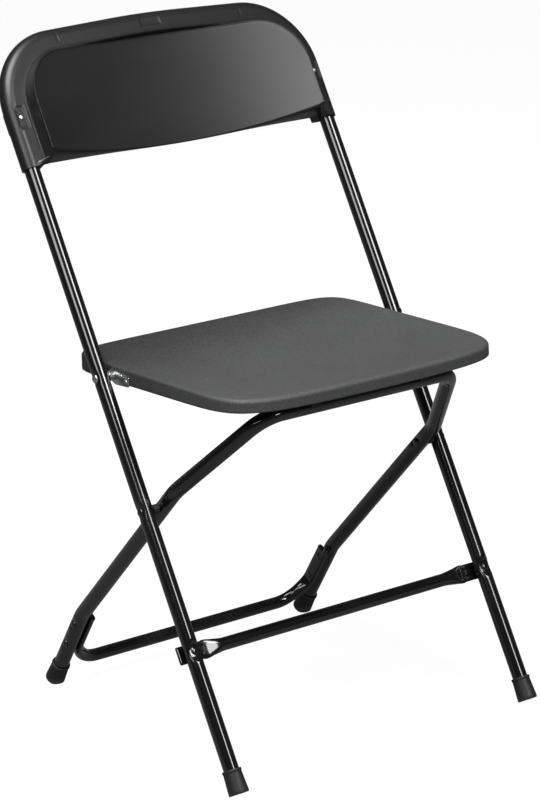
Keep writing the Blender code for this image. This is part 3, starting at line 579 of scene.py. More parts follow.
right = [on_rear(CROSSBAR_HALF, CROSSBAR_RISE), on_rear(REAR_HALF, SHOULDER_RISE),
         on_foot(REAR_HALF, 0.0), on_foot(REAR_HALF, FLOOR_DROP - TUBE_START)]
left = [point * np.array((-1.0, 1.0, 1.0)) for point in right[::-1]]
path = bent_path(left + right, REAR_BENDS + REAR_BENDS[::-1], 0.0025)
points = tube_points(path, OUT_REAR, TUBE_R)
for sign in SIDES.values():
    outward = X_AXIS * sign
    for drop in RIVET_DROPS.values():
        centre = on_foot(sign * REAR_HALF, drop)
        points = dimple(points, centre, DOWN_FOOT, outward, *LOW_DIMPLE)
    for facing in (outward, -outward):
        centre = on_rear(sign * REAR_HALF, 0.0)
        points = dimple(points, centre, UP_REAR, facing, *PIVOT_DIMPLE)
rear_tube = finish_piece(surface("rear_tube", points), "rear_frame", BLACK_PAINT,
                         ["rear_frame_tube"])
print("rear tube:", len(rear_tube.data.vertices), "points")

# %% [markdown]
# The braces are tubes too, but their ends are pressed flat so that they can be
# riveted. The outline of the cross-section changes along the bar: a circle in
# the middle and a wide, thin, rounded bar at the ends. Both are the same
# formula, half-width times |cos|^p and half-height times |sin|^p, with p
# sliding from 1 for the circle to a smaller number for the flat end.

# %% Bars with pressed ends
BRACE_R = 0.0075


def pressed_points(path, reference, thin, tall, power, sides=48):
    """Rings of a squeezed circle: thin along the reference, tall square to it."""
    c, s = circle(sides)
    p = power[:, None]
    a = np.sign(c) * np.abs(c) ** p * thin[:, None]
    b = np.sign(s) * np.abs(s) ** p * tall[:, None]
    return carried(path, reference, a, b)


print("braces are", round(2000.0 * BRACE_R), "mm thick in the middle")

# %% [markdown]
# The front brace crosses behind the front legs. Each end is a flat tab with
# two pressed grooves along it, and a crease where the tab opens out into the
# round bar.

# %% Front brace
TIP = FRONT_HALF + TUBE_R + 0.0035
TAB = 0.0360                        # length of the pressed tab
FLARE = 0.0300                      # length over which it opens out
TAB_THIN = 0.0021
TAB_TALL = 0.0104
GROOVE_UP = 0.0042                  # middle of the tab to each pressed groove
GROOVE_DEEP = 0.0009

x = np.concatenate([np.linspace(-TIP, -TIP + TAB + FLARE, 90),
                    np.linspace(-TIP + TAB + FLARE, TIP - TAB - FLARE, 120)[1:-1],
                    np.linspace(TIP - TAB - FLARE, TIP, 90)])
from_tip = TIP - np.abs(x)
opened = smooth(from_tip, TAB, TAB + FLARE)
crease = smooth(from_tip, TAB - 0.003, TAB) * (1.0 - smooth(from_tip, TAB + 0.002, TAB + 0.010))
end_round = np.sqrt(np.clip(1.0 - (1.0 - np.clip(from_tip / 0.0016, 0.0, 1.0)) ** 2, 0.0, 1.0))
behind = -(TUBE_R + GAP + TAB_THIN)
path = on_front(x, FRONT_BRACE_S, behind - 0.0022 * opened)
thin = mix(TAB_THIN, BRACE_R, smooth(from_tip, TAB - 0.001, TAB + 0.7 * FLARE))
tall = mix(TAB_TALL, BRACE_R, opened) + 0.0006 * crease
points = pressed_points(path, OUT_FRONT, thin * mix(0.3, 1.0, end_round),
                        tall * mix(0.90, 1.0, end_round), mix(0.50, 1.0, opened))
rise = (points - path[:, None]) @ UP_FRONT
grooves = smooth(np.abs(np.abs(rise) - GROOVE_UP), 0.0004, 0.0012) - 1.0
tab_only = smooth(from_tip, 0.0125, 0.0150) * (1.0 - smooth(from_tip, TAB - 0.004, TAB + 0.001))
front_side = (points - path[:, None]) @ OUT_FRONT > 0.0
points = points + (grooves * tab_only[:, None] * front_side * GROOVE_DEEP)[..., None] * OUT_FRONT
front_brace = finish_piece(surface("front_brace_bar", points), "front_frame", BLACK_PAINT,
                           ["front_brace"])
print("front brace:", len(front_brace.data.vertices), "points")

# %% [markdown]
# The rear brace is bent into a U and lies inside the lower legs. Its upright
# ends are pressed flat against the legs and end in a small rolled lip.

# %% Rear brace
FACE_X = REAR_HALF - TUBE_R - GAP
FLAT_HALF = 0.0035
FLAT_LONG = 0.052
FLAT_FADE = 0.024
FLAT_TALL = 0.0088
TOP_DROP = 0.004
CLEAR_OF_FLOOR = 0.0180
BRACE_BEND_R = 0.036
BOTTOM_DROP = (REAR_KNEE[2] - CLEAR_OF_FLOOR - BRACE_R) / math.sin(FOOT_SLOPE)

side_x = FACE_X - BRACE_R
corners = [on_foot(-side_x, TOP_DROP), on_foot(-side_x, BOTTOM_DROP),
           on_foot(side_x, BOTTOM_DROP), on_foot(side_x, TOP_DROP)]
path = bent_path(corners, [BRACE_BEND_R] * 2, 0.0020)
travelled = np.concatenate([[0.0], np.cumsum(np.linalg.norm(np.diff(path, axis=0), axis=1))])
from_end = np.minimum(travelled, travelled[-1] - travelled)
opened = smooth(from_end, FLAT_LONG, FLAT_LONG + FLAT_FADE)
slip = (BRACE_R - FLAT_HALF) * (1.0 - opened)
path = path + (np.sign(path[:, 0]) * slip)[:, None] * X_AXIS
lip = 1.0 - smooth(from_end, 0.0, 0.0050)
thin = mix(FLAT_HALF, BRACE_R, opened) - 0.0006 * (1.0 - opened) * (1.0 - lip)
tall = mix(FLAT_TALL, BRACE_R, opened) + 0.0002 * lip
points = pressed_points(path, OUT_FOOT, tall, thin, mix(0.55, 1.0, opened))
rear_brace = finish_piece(surface("rear_brace_bar", points), "rear_frame", BLACK_PAINT,
                          ["rear_brace"])
print("rear brace:", len(rear_brace.data.vertices), "points")

# %% [markdown]
# Caps, rivets and spacers are round about an axis, so each is a profile of
# (radius, distance) pairs turned once about that axis. The profile's corners
# are rounded by reading it through a few extra points near each corner.

# %% Turned pieces
def turned_points(profile, base, axis, sides=48):
    """A profile of (radius, distance) pairs turned about an axis through base."""
    axis = axis / np.linalg.norm(axis)
    helper = X_AXIS if abs(axis @ X_AXIS) < 0.9 else UP_FRONT
    first = np.cross(axis, helper)
    first /= np.linalg.norm(first)
    second = np.cross(axis, first)
    c, s = circle(sides)
    around = c[:, None] * first + s[:, None] * second
    radius, distance = np.array(profile, float).T
    return base + distance[:, None, None] * axis + radius[:, None, None] * around[None]


def soft_corners(profile, reach, steps=5):
    """A profile whose corners are replaced by curves that start reach before each one."""
    profile = np.array(profile, float)
    bits = [profile[:1]]
    for before, corner, after in zip(profile, profile[1:], profile[2:]):
        near = min(reach, 0.45 * np.linalg.norm(corner - before))
        far = min(reach, 0.45 * np.linalg.norm(after - corner))
        start = corner + (before - corner) / np.linalg.norm(before - corner) * near
        end = corner + (after - corner) / np.linalg.norm(after - corner) * far
        t = np.linspace(0.0, 1.0, steps)[:, None]
        bits.append((1 - t) ** 2 * start + 2 * t * (1 - t) * corner + t ** 2 * end)
    return np.concatenate(bits + [profile[-1:]])


print("a softened corner:", len(soft_corners([(0, 0), (1, 0), (1, 1)], 0.2)), "points")

# %% [markdown]
# A foot cap is a cup pushed over the end of the tube, a little wider at the
# sole. It has a rolled rim, and the floor flattens the lower edge where the
# leaning leg stands on it.

# %% Foot caps
CAP_R = 0.0118
CAP_HIGH = 0.0280
CAP_PATCH = 0.0022
CAP_PROFILE = soft_corners([
    (0.0004, 0.0), (CAP_R - 0.0002, 0.0), (CAP_R, 0.0030), (CAP_R - 0.0005, 0.0110),
    (CAP_R - 0.0012, CAP_HIGH - 0.0032), (CAP_R - 0.0006, CAP_HIGH - 0.0026),
    (CAP_R - 0.0006, CAP_HIGH), (TUBE_R + 0.0001, CAP_HIGH), (TUBE_R + 0.0001, CAP_HIGH - 0.004),
    (0.0004, CAP_HIGH - 0.004)], 0.0011)


def foot_cap(name, floor_point, up, body, node):
    lean = math.acos(float(up[2]))
    start = (CAP_R * math.sin(lean) - CAP_PATCH) / math.cos(lean)
    points = turned_points(CAP_PROFILE, floor_point + up * start, up, 64)
    points[..., 2] = np.maximum(points[..., 2], 0.0)
    return finish_piece(surface(name, points), body, RUBBER, [node])


for side, sign in SIDES.items():
    foot_cap(f"front_cap_{side}", on_front(sign * FRONT_HALF, 0.0), UP_FRONT,
             "front_frame", f"front_foot_{side}")
    foot_cap(f"rear_cap_{side}", on_foot(sign * REAR_HALF, FLOOR_DROP), -DOWN_FOOT,
             "rear_frame", f"rear_foot_{side}")
print("foot caps:", [name for name in MADE if "cap" in name])

# %% [markdown]
# Every rivet has the same shape: a shank between two faces and a low domed
# head outside each. Those of the braces and the leg pivots are black like the
# tubes, and the others are bright zinc. A head sinks into its dimple by about
# the dimple's depth.

# %% Rivets
def rivet_profile(length, shank, head, high):
    """Dome, shank, dome: each dome's height falls as the square of its radius."""
    bend = np.linspace(0.0, 1.0, 9)
    radius = head * np.sin(bend * math.pi / 2.0)
    dome = high * np.cos(bend * math.pi / 2.0)
    near = np.stack([np.maximum(radius, 0.00002), -dome], -1)
    far = np.stack([np.maximum(radius, 0.00002), length + dome], -1)[::-1]
    shank_ends = np.array([(shank, 0.0), (shank, length)])
    return np.concatenate([near, shank_ends, far])


def rivet(name, start, end, sizes, body, material, node):
    shank, head, high = sizes
    length = float(np.linalg.norm(end - start))
    points = turned_points(rivet_profile(length, shank, head, high), start, end - start, 40)
    return finish_piece(surface(name, points), body, material, [node])


BRACE_RIVET = (0.0025, 0.0044, 0.0018)
BACK_RIVET = (0.0018, 0.0031, 0.0014)
PIVOT_RIVET = (0.0030, 0.0050, 0.0023)
SEAT_RIVET = (0.0014, 0.0028, 0.0011)
INNER_PLATE_X = 0.1950              # outer side of the seat's wall

for side, sign in SIDES.items():
    x = sign * FRONT_HALF
    rivet(f"front_brace_rivet_{side}_head", on_front(x, FRONT_BRACE_S, TUBE_R - 0.0031),
          on_front(x, FRONT_BRACE_S, behind - TAB_THIN), BRACE_RIVET, "front_frame",
          BLACK_PAINT, f"front_brace_rivet_{side}")
    rivet(f"leg_pivot_{side}", on_front(sign * (FRONT_HALF + TUBE_R - 0.0019), LEG_PIVOT_S),
          on_front(sign * (REAR_HALF - TUBE_R + 0.0015), LEG_PIVOT_S), PIVOT_RIVET,
          "front_frame", BLACK_PAINT, f"leg_pivot_rivet_{side}")
    rivet(f"seat_pivot_{side}", on_front(sign * (FRONT_HALF + TUBE_R - 0.0010), SEAT_PIVOT_S),
          on_front(sign * (INNER_PLATE_X + 0.0002), SEAT_PIVOT_S), PIVOT_RIVET,
          "front_frame", ZINC, f"seat_pivot_rivet_{side}")
    for place, drop in RIVET_DROPS.items():
        rivet(f"rear_brace_rivet_{side}_{place}_head",
              on_foot(sign * (REAR_HALF + TUBE_R - 0.0014), drop),
              on_foot(sign * (FACE_X - 2.0 * FLAT_HALF + 0.0012), drop), BRACE_RIVET,
              "rear_frame", BLACK_PAINT, f"rear_brace_rivet_{side}_{place}")
print("rivets:", len([name for name in MADE if "rivet" in name or "pivot" in name]))

# %% [markdown]
# The backrest is the chair's most shaped piece. A sleeve closes round the
# tube's bow; inside it the front panel rises in a step, and is hollowed from
# side to side so that its two ends stand forward like wings. It is made as a
# flat-topped grid for the front, the same grid again for the rear, and rings
# between them that follow one cross-section: bead, step, rim, round the
# sleeve, and back in.

# %% Backrest: outline and heights
SLEEVE_R = 0.0115
BACK_RIVET_X = 0.2112
PANEL_OUT = 0.0200                  # tube's axis to where the rings begin
PANEL_HALF = FRONT_HALF - PANEL_OUT
WING = 0.0282                       # how far the panel's ends stand forward
HOLLOW = 0.0235                     # how far its middle dips behind its ends
REAR_WALL = -0.0035
SLEEVE_LOW = 0.7425                 # lower edges, up the front tubes
WING_LOW = 0.7560
MIDDLE_LOW = 0.7450
REAR_LOW = 0.7470
CORNER_S = FRAME_TOP_S - BOW_R

whole_bow = bow_path(CORNER_S - 0.01, 0.0004)
bow_x = whole_bow[:, 0]
bow_s = (whole_bow - FRONT_FLOOR) @ UP_FRONT
over_top = bow_s >= CORNER_S
bow_x, bow_s = bow_x[over_top], bow_s[over_top]
pick = np.linspace(0, len(bow_x) - 1, 361).astype(int)
slope_x, slope_s = np.gradient(bow_x), np.gradient(bow_s)
steepness = np.hypot(slope_x, slope_s)
bow_x, bow_s = bow_x[pick], bow_s[pick]
away_x, away_s = (slope_s / steepness)[pick], (-slope_x / steepness)[pick]


def panel_height(x):
    """The front panel's stand-out: wing less the hollow times one less x squared."""
    return WING - HOLLOW * np.clip(1.0 - (x / PANEL_HALF) ** 2, 0.0, 1.0)


def front_low(x):
    """The panel's lower edge, lowest in the middle."""
    return WING_LOW - (WING_LOW - MIDDLE_LOW) * np.clip(1.0 - (x / PANEL_HALF) ** 2, 0.0, 1.0)


def face_grid(low, height, rows=46):
    """Columns from the lower edge up to the bow, at a given stand-out from the plane."""
    x = (bow_x - away_x * PANEL_OUT)[::-1]
    top = (bow_s - away_s * PANEL_OUT)[::-1]
    share = np.linspace(0.0, 1.0, rows)[:, None]
    across = np.broadcast_to(x, (rows, len(x)))
    up = mix(low(x), top, share)
    return across, up, height(across, up)


print("panel half width", round(PANEL_HALF, 4), "columns", len(bow_x))

# %% [markdown]
# The cross-section is a list of stations: distance from the tube's axis,
# height, and how much of the local panel height to use. The rim's front also
# carries the shallow square pocket round each rivet, a blank rectangular
# pocket at the top, and a fine line near each top corner.

# %% Backrest: the section round the rim
def rim_section():
    """Stations (distance inward of the tube's axis, height, panel share)."""
    bead = [(0.0200, 0.0, 1.0), (0.0192, 0.0001, 1.0), (0.0186, 0.0004, 1.0),
            (0.0181, 0.0006, 1.0), (0.0177, 0.0005, 1.0), (0.0174, 0.0001, 1.0),
            (0.0172, -0.0006, 1.0), (0.0169, 0.0, 0.86), (0.0164, 0.0, 0.55),
            (0.0158, 0.0, 0.20), (0.0155, 0.0, 0.04), (0.0151, 0.0001, 0.0),
            (0.0147, 0.0003, 0.0), (0.0143, 0.0003, 0.0), (0.0138, 0.0001, 0.0)]
    flat = [(distance, 0.0, 0.0) for distance in np.linspace(0.0130, 0.0, 13)]
    front = [(d, mix(SLEEVE_R, 0.0, share) + extra, share) for d, extra, share in bead + flat]
    turn = np.linspace(90.0, -90.0, 17)[1:-1]
    outer = [(-SLEEVE_R * math.cos(math.radians(a)), SLEEVE_R * math.sin(math.radians(a)), 0.0)
             for a in turn]
    back = [(d, -SLEEVE_R, 0.0) for d in np.linspace(0.0, 0.0140, 8)]
    inner = [(0.0146, -SLEEVE_R + 0.0006, 0.0), (0.0156, -SLEEVE_R + 0.0040, 0.0),
             (0.0166, REAR_WALL - 0.0006, 0.0), (0.0176, REAR_WALL, 0.0), (0.0200, REAR_WALL, 0.0)]
    return np.array(front + outer + back + inner)


def pocket(x, s, centre_x, centre_s, half_x, half_s, edge=0.0007):
    """1 inside a rectangle and 0 outside it, with a soft edge."""
    inside_x = 1.0 - smooth(np.abs(x - centre_x), half_x - edge, half_x + edge)
    inside_s = 1.0 - smooth(np.abs(s - centre_s), half_s - edge, half_s + edge)
    return inside_x * inside_s


def rim_detail(x, s):
    """Depth of the pockets and lines on the rim's front face, in metres."""
    clip = pocket(np.abs(x), s, BACK_RIVET_X, BACK_RIVET_S, 0.0062, 0.0132)
    blank = pocket(x, s, 0.001, 0.8915, 0.0140, 0.0042)
    tick = pocket(np.abs(x), s, 0.1310, 0.8880, 0.0009, 0.0050, 0.0009)
    return 0.0011 * clip + 0.0005 * blank + 0.0004 * tick


print("stations round the rim:", len(rim_section()))

# %% [markdown]
# Each ring is a loop of the same length: the lower edge from left to right, up
# the right side, over the top, and down the left side. Along the lower edge
# the rings carry the surface from the panel's front edge, under a rolled lip,
# to the rear wall.

# %% Backrest: rings and mesh
section = rim_section()
stations = len(section)
side_rows = 46
REAR_STATIONS = 5                   # the last ones lie on the rear wall


def ring(number):
    """One loop of the rim, as (across, up, out) arrays."""
    distance, height, share = section[number]
    through = number / (stations - 1)
    reach = FRONT_HALF - distance
    end_low = mix(SLEEVE_LOW, WING_LOW, share) if number < stations - REAR_STATIONS else REAR_LOW
    lower_x = (bow_x - away_x * PANEL_OUT)[::-1] * reach / PANEL_HALF
    near_end = smooth(np.abs(lower_x) / reach, 0.955, 1.0)
    middle_low = mix(front_low(lower_x), REAR_LOW, through)
    middle_low = middle_low - 0.0030 * math.sin(math.pi * through ** 0.6)
    lower_s = mix(middle_low, end_low, near_end)
    own_height = height + share * panel_height(lower_x)
    middle_out = mix(panel_height(lower_x), REAR_WALL, smooth(through, 0.0, 1.0))
    lower_out = mix(middle_out, own_height, near_end)
    side_s = mix(end_low, CORNER_S, np.linspace(0.0, 1.0, side_rows))
    top_x = bow_x - away_x * distance
    top_s = bow_s - away_s * distance
    x = np.concatenate([lower_x[:-1], np.full(side_rows - 1, reach), top_x[:-1],
                        np.full(side_rows - 1, -reach)])
    s = np.concatenate([lower_s[:-1], side_s[:-1], top_s[:-1], side_s[:0:-1]])
    upper_x = x[len(lower_x) - 1:]
    upper_s = s[len(lower_x) - 1:]
    upper_out = height + share * panel_height(upper_x)
    on_rim_front = (share == 0.0) * smooth(height, 0.0100, 0.0112)
    upper_out = upper_out - on_rim_front * rim_detail(upper_x, upper_s)
    return x, s, np.concatenate([lower_out[:-1], upper_out])


def loop_of(grid):
    """The border of a grid, in the order that the rings use."""
    return np.concatenate([grid[0, :-1], grid[:-1, -1], grid[-1, :0:-1], grid[:0:-1, 0]])


def sheet_faces(index):
    """Quads over a grid of vertex numbers."""
    corners = (index[:-1, :-1], index[:-1, 1:], index[1:, 1:], index[1:, :-1])
    return np.stack(corners, -1).reshape(-1, 4)


def backrest_mesh():
    front = face_grid(front_low, lambda x, s: panel_height(x))
    rear = face_grid(lambda x: np.full_like(x, REAR_LOW), lambda x, s: np.full_like(x, REAR_WALL))
    rows, columns = front[0].shape
    count = rows * columns
    rings = [ring(i) for i in range(1, stations - 1)]
    points = [on_front(*(part.ravel() for part in front)),
              on_front(*(part.ravel() for part in rear))]
    points += [on_front(*loop) for loop in rings]
    index = np.arange(count).reshape(rows, columns)
    length = len(rings[0][0])
    loops = [loop_of(index)]
    loops += [2 * count + number * length + np.arange(length) for number in range(len(rings))]
    loops.append(loop_of(index + count))
    bands = [np.stack([near, np.roll(near, -1), np.roll(far, -1), far], -1)
             for near, far in zip(loops, loops[1:])]
    quads = np.concatenate([sheet_faces(index)[:, ::-1], sheet_faces(index + count)] + bands)
    return np.concatenate(points), quads


points, quads = backrest_mesh()
backrest = finish_piece(mesh_from("backrest_shell", points, quads, np.zeros((0, 3), int)),
                        "front_frame", BACK_PLASTIC, ["backrest_panel"])
print("backrest:", len(quads), "quads")

# %% [markdown]
# A rivet goes through the pocket on each side of the backrest and holds it to
# the tube. Behind, a small square boss takes the rivet's tail.

# %% Backrest rivets and bosses
def rounded_block(name, place, half_a, half_b, low, high, corner, body, material):
    """A block with rounded corners: a rounded rectangle carried from low to high."""
    c, s = circle(64, 0.01)
    a = np.sign(c) * (half_a - corner) + c * corner
    b = np.sign(s) * (half_b - corner) + s * corner
    edge = 0.3 * corner
    steps = [(low, edge), (low + 0.3 * edge, 0.3 * edge), (low + edge, 0.0),
             (high - edge, 0.0), (high - 0.3 * edge, 0.3 * edge), (high, edge)]
    rows = [place(a * (1.0 - inset / half_a), b * (1.0 - inset / half_b), c_at)
            for c_at, inset in steps]
    return finish_piece(surface(name, np.stack(rows)), body, material)


for side, sign in SIDES.items():
    x = sign * BACK_RIVET_X
    rivet(f"backrest_rivet_{side}_head", on_front(x, BACK_RIVET_S, SLEEVE_R - 0.0010),
          on_front(x, BACK_RIVET_S, -SLEEVE_R - 0.0026), BACK_RIVET, "front_frame", ZINC,
          f"backrest_rivet_{side}")
    rounded_block(f"backrest_boss_{side}",
                  lambda a, b, c, x=x: on_front(x + a, BACK_RIVET_S + b, c),
                  0.0080, 0.0130, -SLEEVE_R - 0.0025, -SLEEVE_R + 0.0030, 0.0020,
                  "front_frame", BACK_PLASTIC)
print("backrest pieces:", [name for name in MADE if "backrest" in name])

# %% [markdown]
# The seat is a tray turned upside down: a shallow dish on top, a rolled edge,
# and a side wall that is lower in front. Seen from above its outline is the
# curve |x/a|^n + |y/b|^n = 1, a rectangle with very full corners. The power n
# is larger behind, where the corners are squarer, and the front edge is bowed.
# The surface is rings of that outline, from the middle of the top, over the
# edge, down the wall, and back in underneath.

# %% Seat: outline and section
SEAT_A = 0.1950
SEAT_B = 0.1660
SEAT_FRONT_POWER = 6.4
SEAT_REAR_POWER = 10.0
SEAT_FRONT_BOW = 0.0110
SEAT_SKIN = 0.0036
SEAT_DISH = 0.0080
WALL_REAR, WALL_FRONT = 0.0205, 0.0160
ROLL_REAR, ROLL_FRONT = 0.0038, 0.0052


def seat_outline(count=360):
    """Points on |x/a|^n + |y/b|^n = 1 with n from front to rear, the front bowed by b2 (x/a)^2.

    Each place goes by the length passed plus the turn made, both as shares of their totals,
    from the front's middle round to the rear's; the left side mirrors the right.
    """
    angle = np.linspace(0.5 * math.pi, -0.5 * math.pi, 6001)
    c, s = np.cos(angle), np.sin(angle)
    power = 2.0 / np.where(s > 0.0, SEAT_FRONT_POWER, SEAT_REAR_POWER)
    x = SEAT_A * np.maximum(c, 0.0) ** power
    forward = SEAT_B * np.sign(s) * np.abs(s) ** power
    forward -= SEAT_FRONT_BOW * (x / SEAT_A) ** 2 * np.maximum(forward, 0.0) / SEAT_B
    step = np.hypot(np.diff(x), np.diff(forward))
    heading = np.unwrap(np.arctan2(np.diff(forward), np.diff(x)))
    turn = np.abs(np.diff(heading, append=heading[-1]))
    passed = np.concatenate([[0.0], np.cumsum(step / step.sum() + turn / turn.sum())])
    places = np.linspace(0.0, passed[-1], count // 2 + 1)
    right_x, right_f = np.interp(places, passed, x), np.interp(places, passed, forward)
    return (np.concatenate([right_x, -right_x[-2:0:-1]]),
            np.concatenate([right_f, right_f[-2:0:-1]]))


def seat_dish(x, forward):
    """Depth of the dish: greatest in the middle, nothing at the edge."""
    across = np.clip(1.0 - (x / SEAT_A) ** 2, 0.0, 1.0)
    along = np.clip(1.0 - (forward / SEAT_B) ** 2, 0.0, 1.0)
    return -SEAT_DISH * across * along


def wall_height(forward):
    """The side wall, lower in front."""
    return mix(WALL_REAR, WALL_FRONT, (forward + SEAT_B) / (2.0 * SEAT_B))


def roll_radius(forward):
    """The rolled edge: tight at the back and sides, fuller along the front."""
    return mix(ROLL_REAR, ROLL_FRONT, smooth(forward, 0.060, 0.150))


outline_x, outline_f = seat_outline()


def seat_row(inset, drop, follow):
    """The outline moved in by inset and down by drop, on the dish or off the wall's foot."""
    x = outline_x * (1.0 - inset / SEAT_A)
    forward = outline_f * (1.0 - inset / SEAT_B)
    base = seat_dish(x, forward) if follow == "top" else -wall_height(forward)
    return on_seat(x, forward, base - drop)


print("seat outline:", len(outline_x), "points, half width", round(float(outline_x.max()), 4))

# %% [markdown]
# Each row below is the outline at one inset and one drop: rows over the dish,
# a quarter turn over the edge, the wall, a half turn at its foot, and back in
# under the skin.

# %% Seat: surface
def seat_rows():
    radius = roll_radius(outline_f)
    top = [seat_row(inset, 0.0, "top")
           for inset in np.concatenate([np.linspace(0.1610, 0.0160, 58), [0.0130, 0.0105, 0.0088]])]
    roll = [seat_row(radius * (1.0 - math.sin(a)), radius * (1.0 - math.cos(a)), "top")
            for a in np.radians(np.linspace(6.0, 90.0, 12))]
    wall = [seat_row(-0.0002 * t, 0.0, "foot") * t + roll[-1] * (1.0 - t)
            for t in np.linspace(0.15, 0.86, 6)]
    lip = [seat_row(SEAT_SKIN / 2.0 * (1.0 - math.cos(a)), 0.0008 * math.sin(a) - 0.0008, "foot")
           for a in np.radians(np.linspace(10.0, 170.0, 9))]
    inside = [seat_row(SEAT_SKIN, SEAT_SKIN + 0.0035, "top"), seat_row(0.0047, 0.0046, "top"),
              seat_row(0.0075, SEAT_SKIN, "top")]
    under = [seat_row(inset, SEAT_SKIN, "top") for inset in np.linspace(0.0140, 0.1610, 30)]
    return np.stack(top + roll + wall + lip + inside + under)


seat = surface("seat_moulding", seat_rows())
print("seat:", len(seat.data.vertices), "points")

# %% [markdown]
# Three small drain holes go right through the seat. They are cut with a
# Boolean, which is the plain way to put a hole in a finished surface.

# %% Seat: drain holes
HOLE_R = 0.0013
HOLES = [(-0.083, -0.057), (-0.048, -0.040), (-0.010, -0.057)]


def cut_holes(piece, holes):
    """Take a row of small cylinders away from a piece, one Boolean for each."""
    for x, forward in holes:
        profile = [(0.00002, 0.0), (HOLE_R, 0.0), (HOLE_R, 0.03), (0.00002, 0.03)]
        points = turned_points(profile, on_seat(x, forward, -0.024), SEAT_UP, 16)
        drill = surface("drill", points)
        boolean = piece.modifiers.new("hole", "BOOLEAN")
        boolean.operation = "DIFFERENCE"
        boolean.solver = "EXACT"
        boolean.object = drill
        graph = bpy.context.evaluated_depsgraph_get()
        mesh = bpy.data.meshes.new_from_object(piece.evaluated_get(graph))
        piece.modifiers.clear()
        piece.data = mesh
        bpy.data.objects.remove(drill, do_unlink=True)


cut_holes(seat, HOLES)
finish_piece(seat, "seat", SEAT_PLASTIC, ["seat_pan"])
print("seat with holes:", len(seat.data.vertices), "points")

# %% [markdown]
# A zinc bracket is riveted to each side wall and turns on the seat pivot. It
# is a stamped plate: its outline is rounded over at both faces by the punch.

# %% Seat brackets
seat_pivot = on_front(0.0, SEAT_PIVOT_S) - SEAT_CENTRE
PIVOT_FORWARD = float(seat_pivot @ SEAT_FORWARD)
PIVOT_UP = float(seat_pivot @ SEAT_UP)
PLATE = 0.0016
PLATE_RIVETS = {"rear": (0.0150, 0.0005), "front": (0.0240, -0.0040)}


def plate_outline():
    """The bracket seen from the side: an eye round the pivot and a tongue ahead of it."""
    eye = np.radians(128.0 + 26.0 * np.arange(6))
    corners = [(0.0300, 0.0024), (-0.0040, 0.0072)]
    corners += list(zip(0.0082 * np.cos(eye), 0.0082 * np.sin(eye)))
    corners += [(0.0040, -0.0102), (0.0290, -0.0090), (0.0300, 0.0024), (-0.0040, 0.0072)]
    line = soft_corners(corners, 0.0016, 4)
    return line[1:-1]


def seat_bracket(side, sign):
    line = plate_outline()
    middle = line.mean(0)
    rows = []
    for depth, inset in ((0.0, 0.0004), (0.0001, 0.0001), (0.0004, 0.0), (PLATE - 0.0004, 0.0),
                         (PLATE - 0.0001, 0.0001), (PLATE, 0.0004)):
        scaled = middle + (line - middle) * (1.0 - inset / 0.012)
        x = np.full(len(line), sign * (INNER_PLATE_X + GAP + depth))
        rows.append(on_seat(x, PIVOT_FORWARD + scaled[:, 0], PIVOT_UP + scaled[:, 1]))
    finish_piece(surface(f"seat_bracket_{side}_plate", np.stack(rows)), "seat", ZINC,
                 [f"seat_bracket_{side}"])
    for place, (forward, up) in PLATE_RIVETS.items():
        at = (PIVOT_FORWARD + forward, PIVOT_UP + up)
        rivet(f"seat_bracket_rivet_{side}_{place}_head",
              on_seat(sign * (INNER_PLATE_X + GAP + PLATE), *at),
              on_seat(sign * (INNER_PLATE_X - 0.0055), *at), SEAT_RIVET, "seat", ZINC,
              f"seat_bracket_rivet_{side}_{place}")


for side, sign in SIDES.items():
    seat_bracket(side, sign)
print("bracket pieces:", [name for name in MADE if "bracket" in name])

# %% [markdown]
# Spacers keep the tubes apart at the pivots: nylon ones between the legs, and
# zinc ones between the seat's brackets and the front tubes. They are rings, so
# their grid closes both ways.

# %% Spacers
SPACER_R = (0.0033, 0.0058)         # inner and outer radius


def spacer(name, start, end, material, node):
    inner, outer = SPACER_R
    length = float(np.linalg.norm(end - start))
    edge = 0.0004
    profile = [(inner, 0.0), (outer - edge, 0.0), (outer, edge), (outer - 0.0002, length * 0.5),
               (outer, length - edge), (outer - edge, length), (inner, length),
               (inner, length * 0.5)]
    points = turned_points(profile, start, end - start, 40)
    return finish_piece(surface(name, points, closed_rows=True), "front_frame", material,
                        [node])


for side, sign in SIDES.items():
    near_tube = sign * (FRONT_HALF - TUBE_R - 0.0002)
    spacer(f"leg_spacer_{side}", on_front(sign * (REAR_HALF + TUBE_R + 0.0002), LEG_PIVOT_S),
           on_front(near_tube, LEG_PIVOT_S), NYLON, f"leg_pivot_spacer_{side}")
    spacer(f"seat_spacer_{side}",
           on_front(sign * (INNER_PLATE_X + 0.0006 + PLATE), SEAT_PIVOT_S),
           on_front(near_tube, SEAT_PIVOT_S), ZINC, f"seat_pivot_spacer_{side}")
print("spacers:", [name for name in MADE if "spacer" in name])

# %% [markdown]
# The rails under the seat keep their engineering shape, which is right as it
# is, and get the nylon finish. The loop takes every node that still shows and
# prints its name.

# %% Nodes that stay as they are
for name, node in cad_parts.items():
    if not node.hide_render:
        for material_slot in node.material_slots:
            material_slot.material = NYLON
        print("kept node:", name)

# %% [markdown]
# The chair stands on a plain floor that looks white but throws little light
# up, so that the chair's own blacks stay dark.

# %% Floor
FLOOR_HALF = 40.0


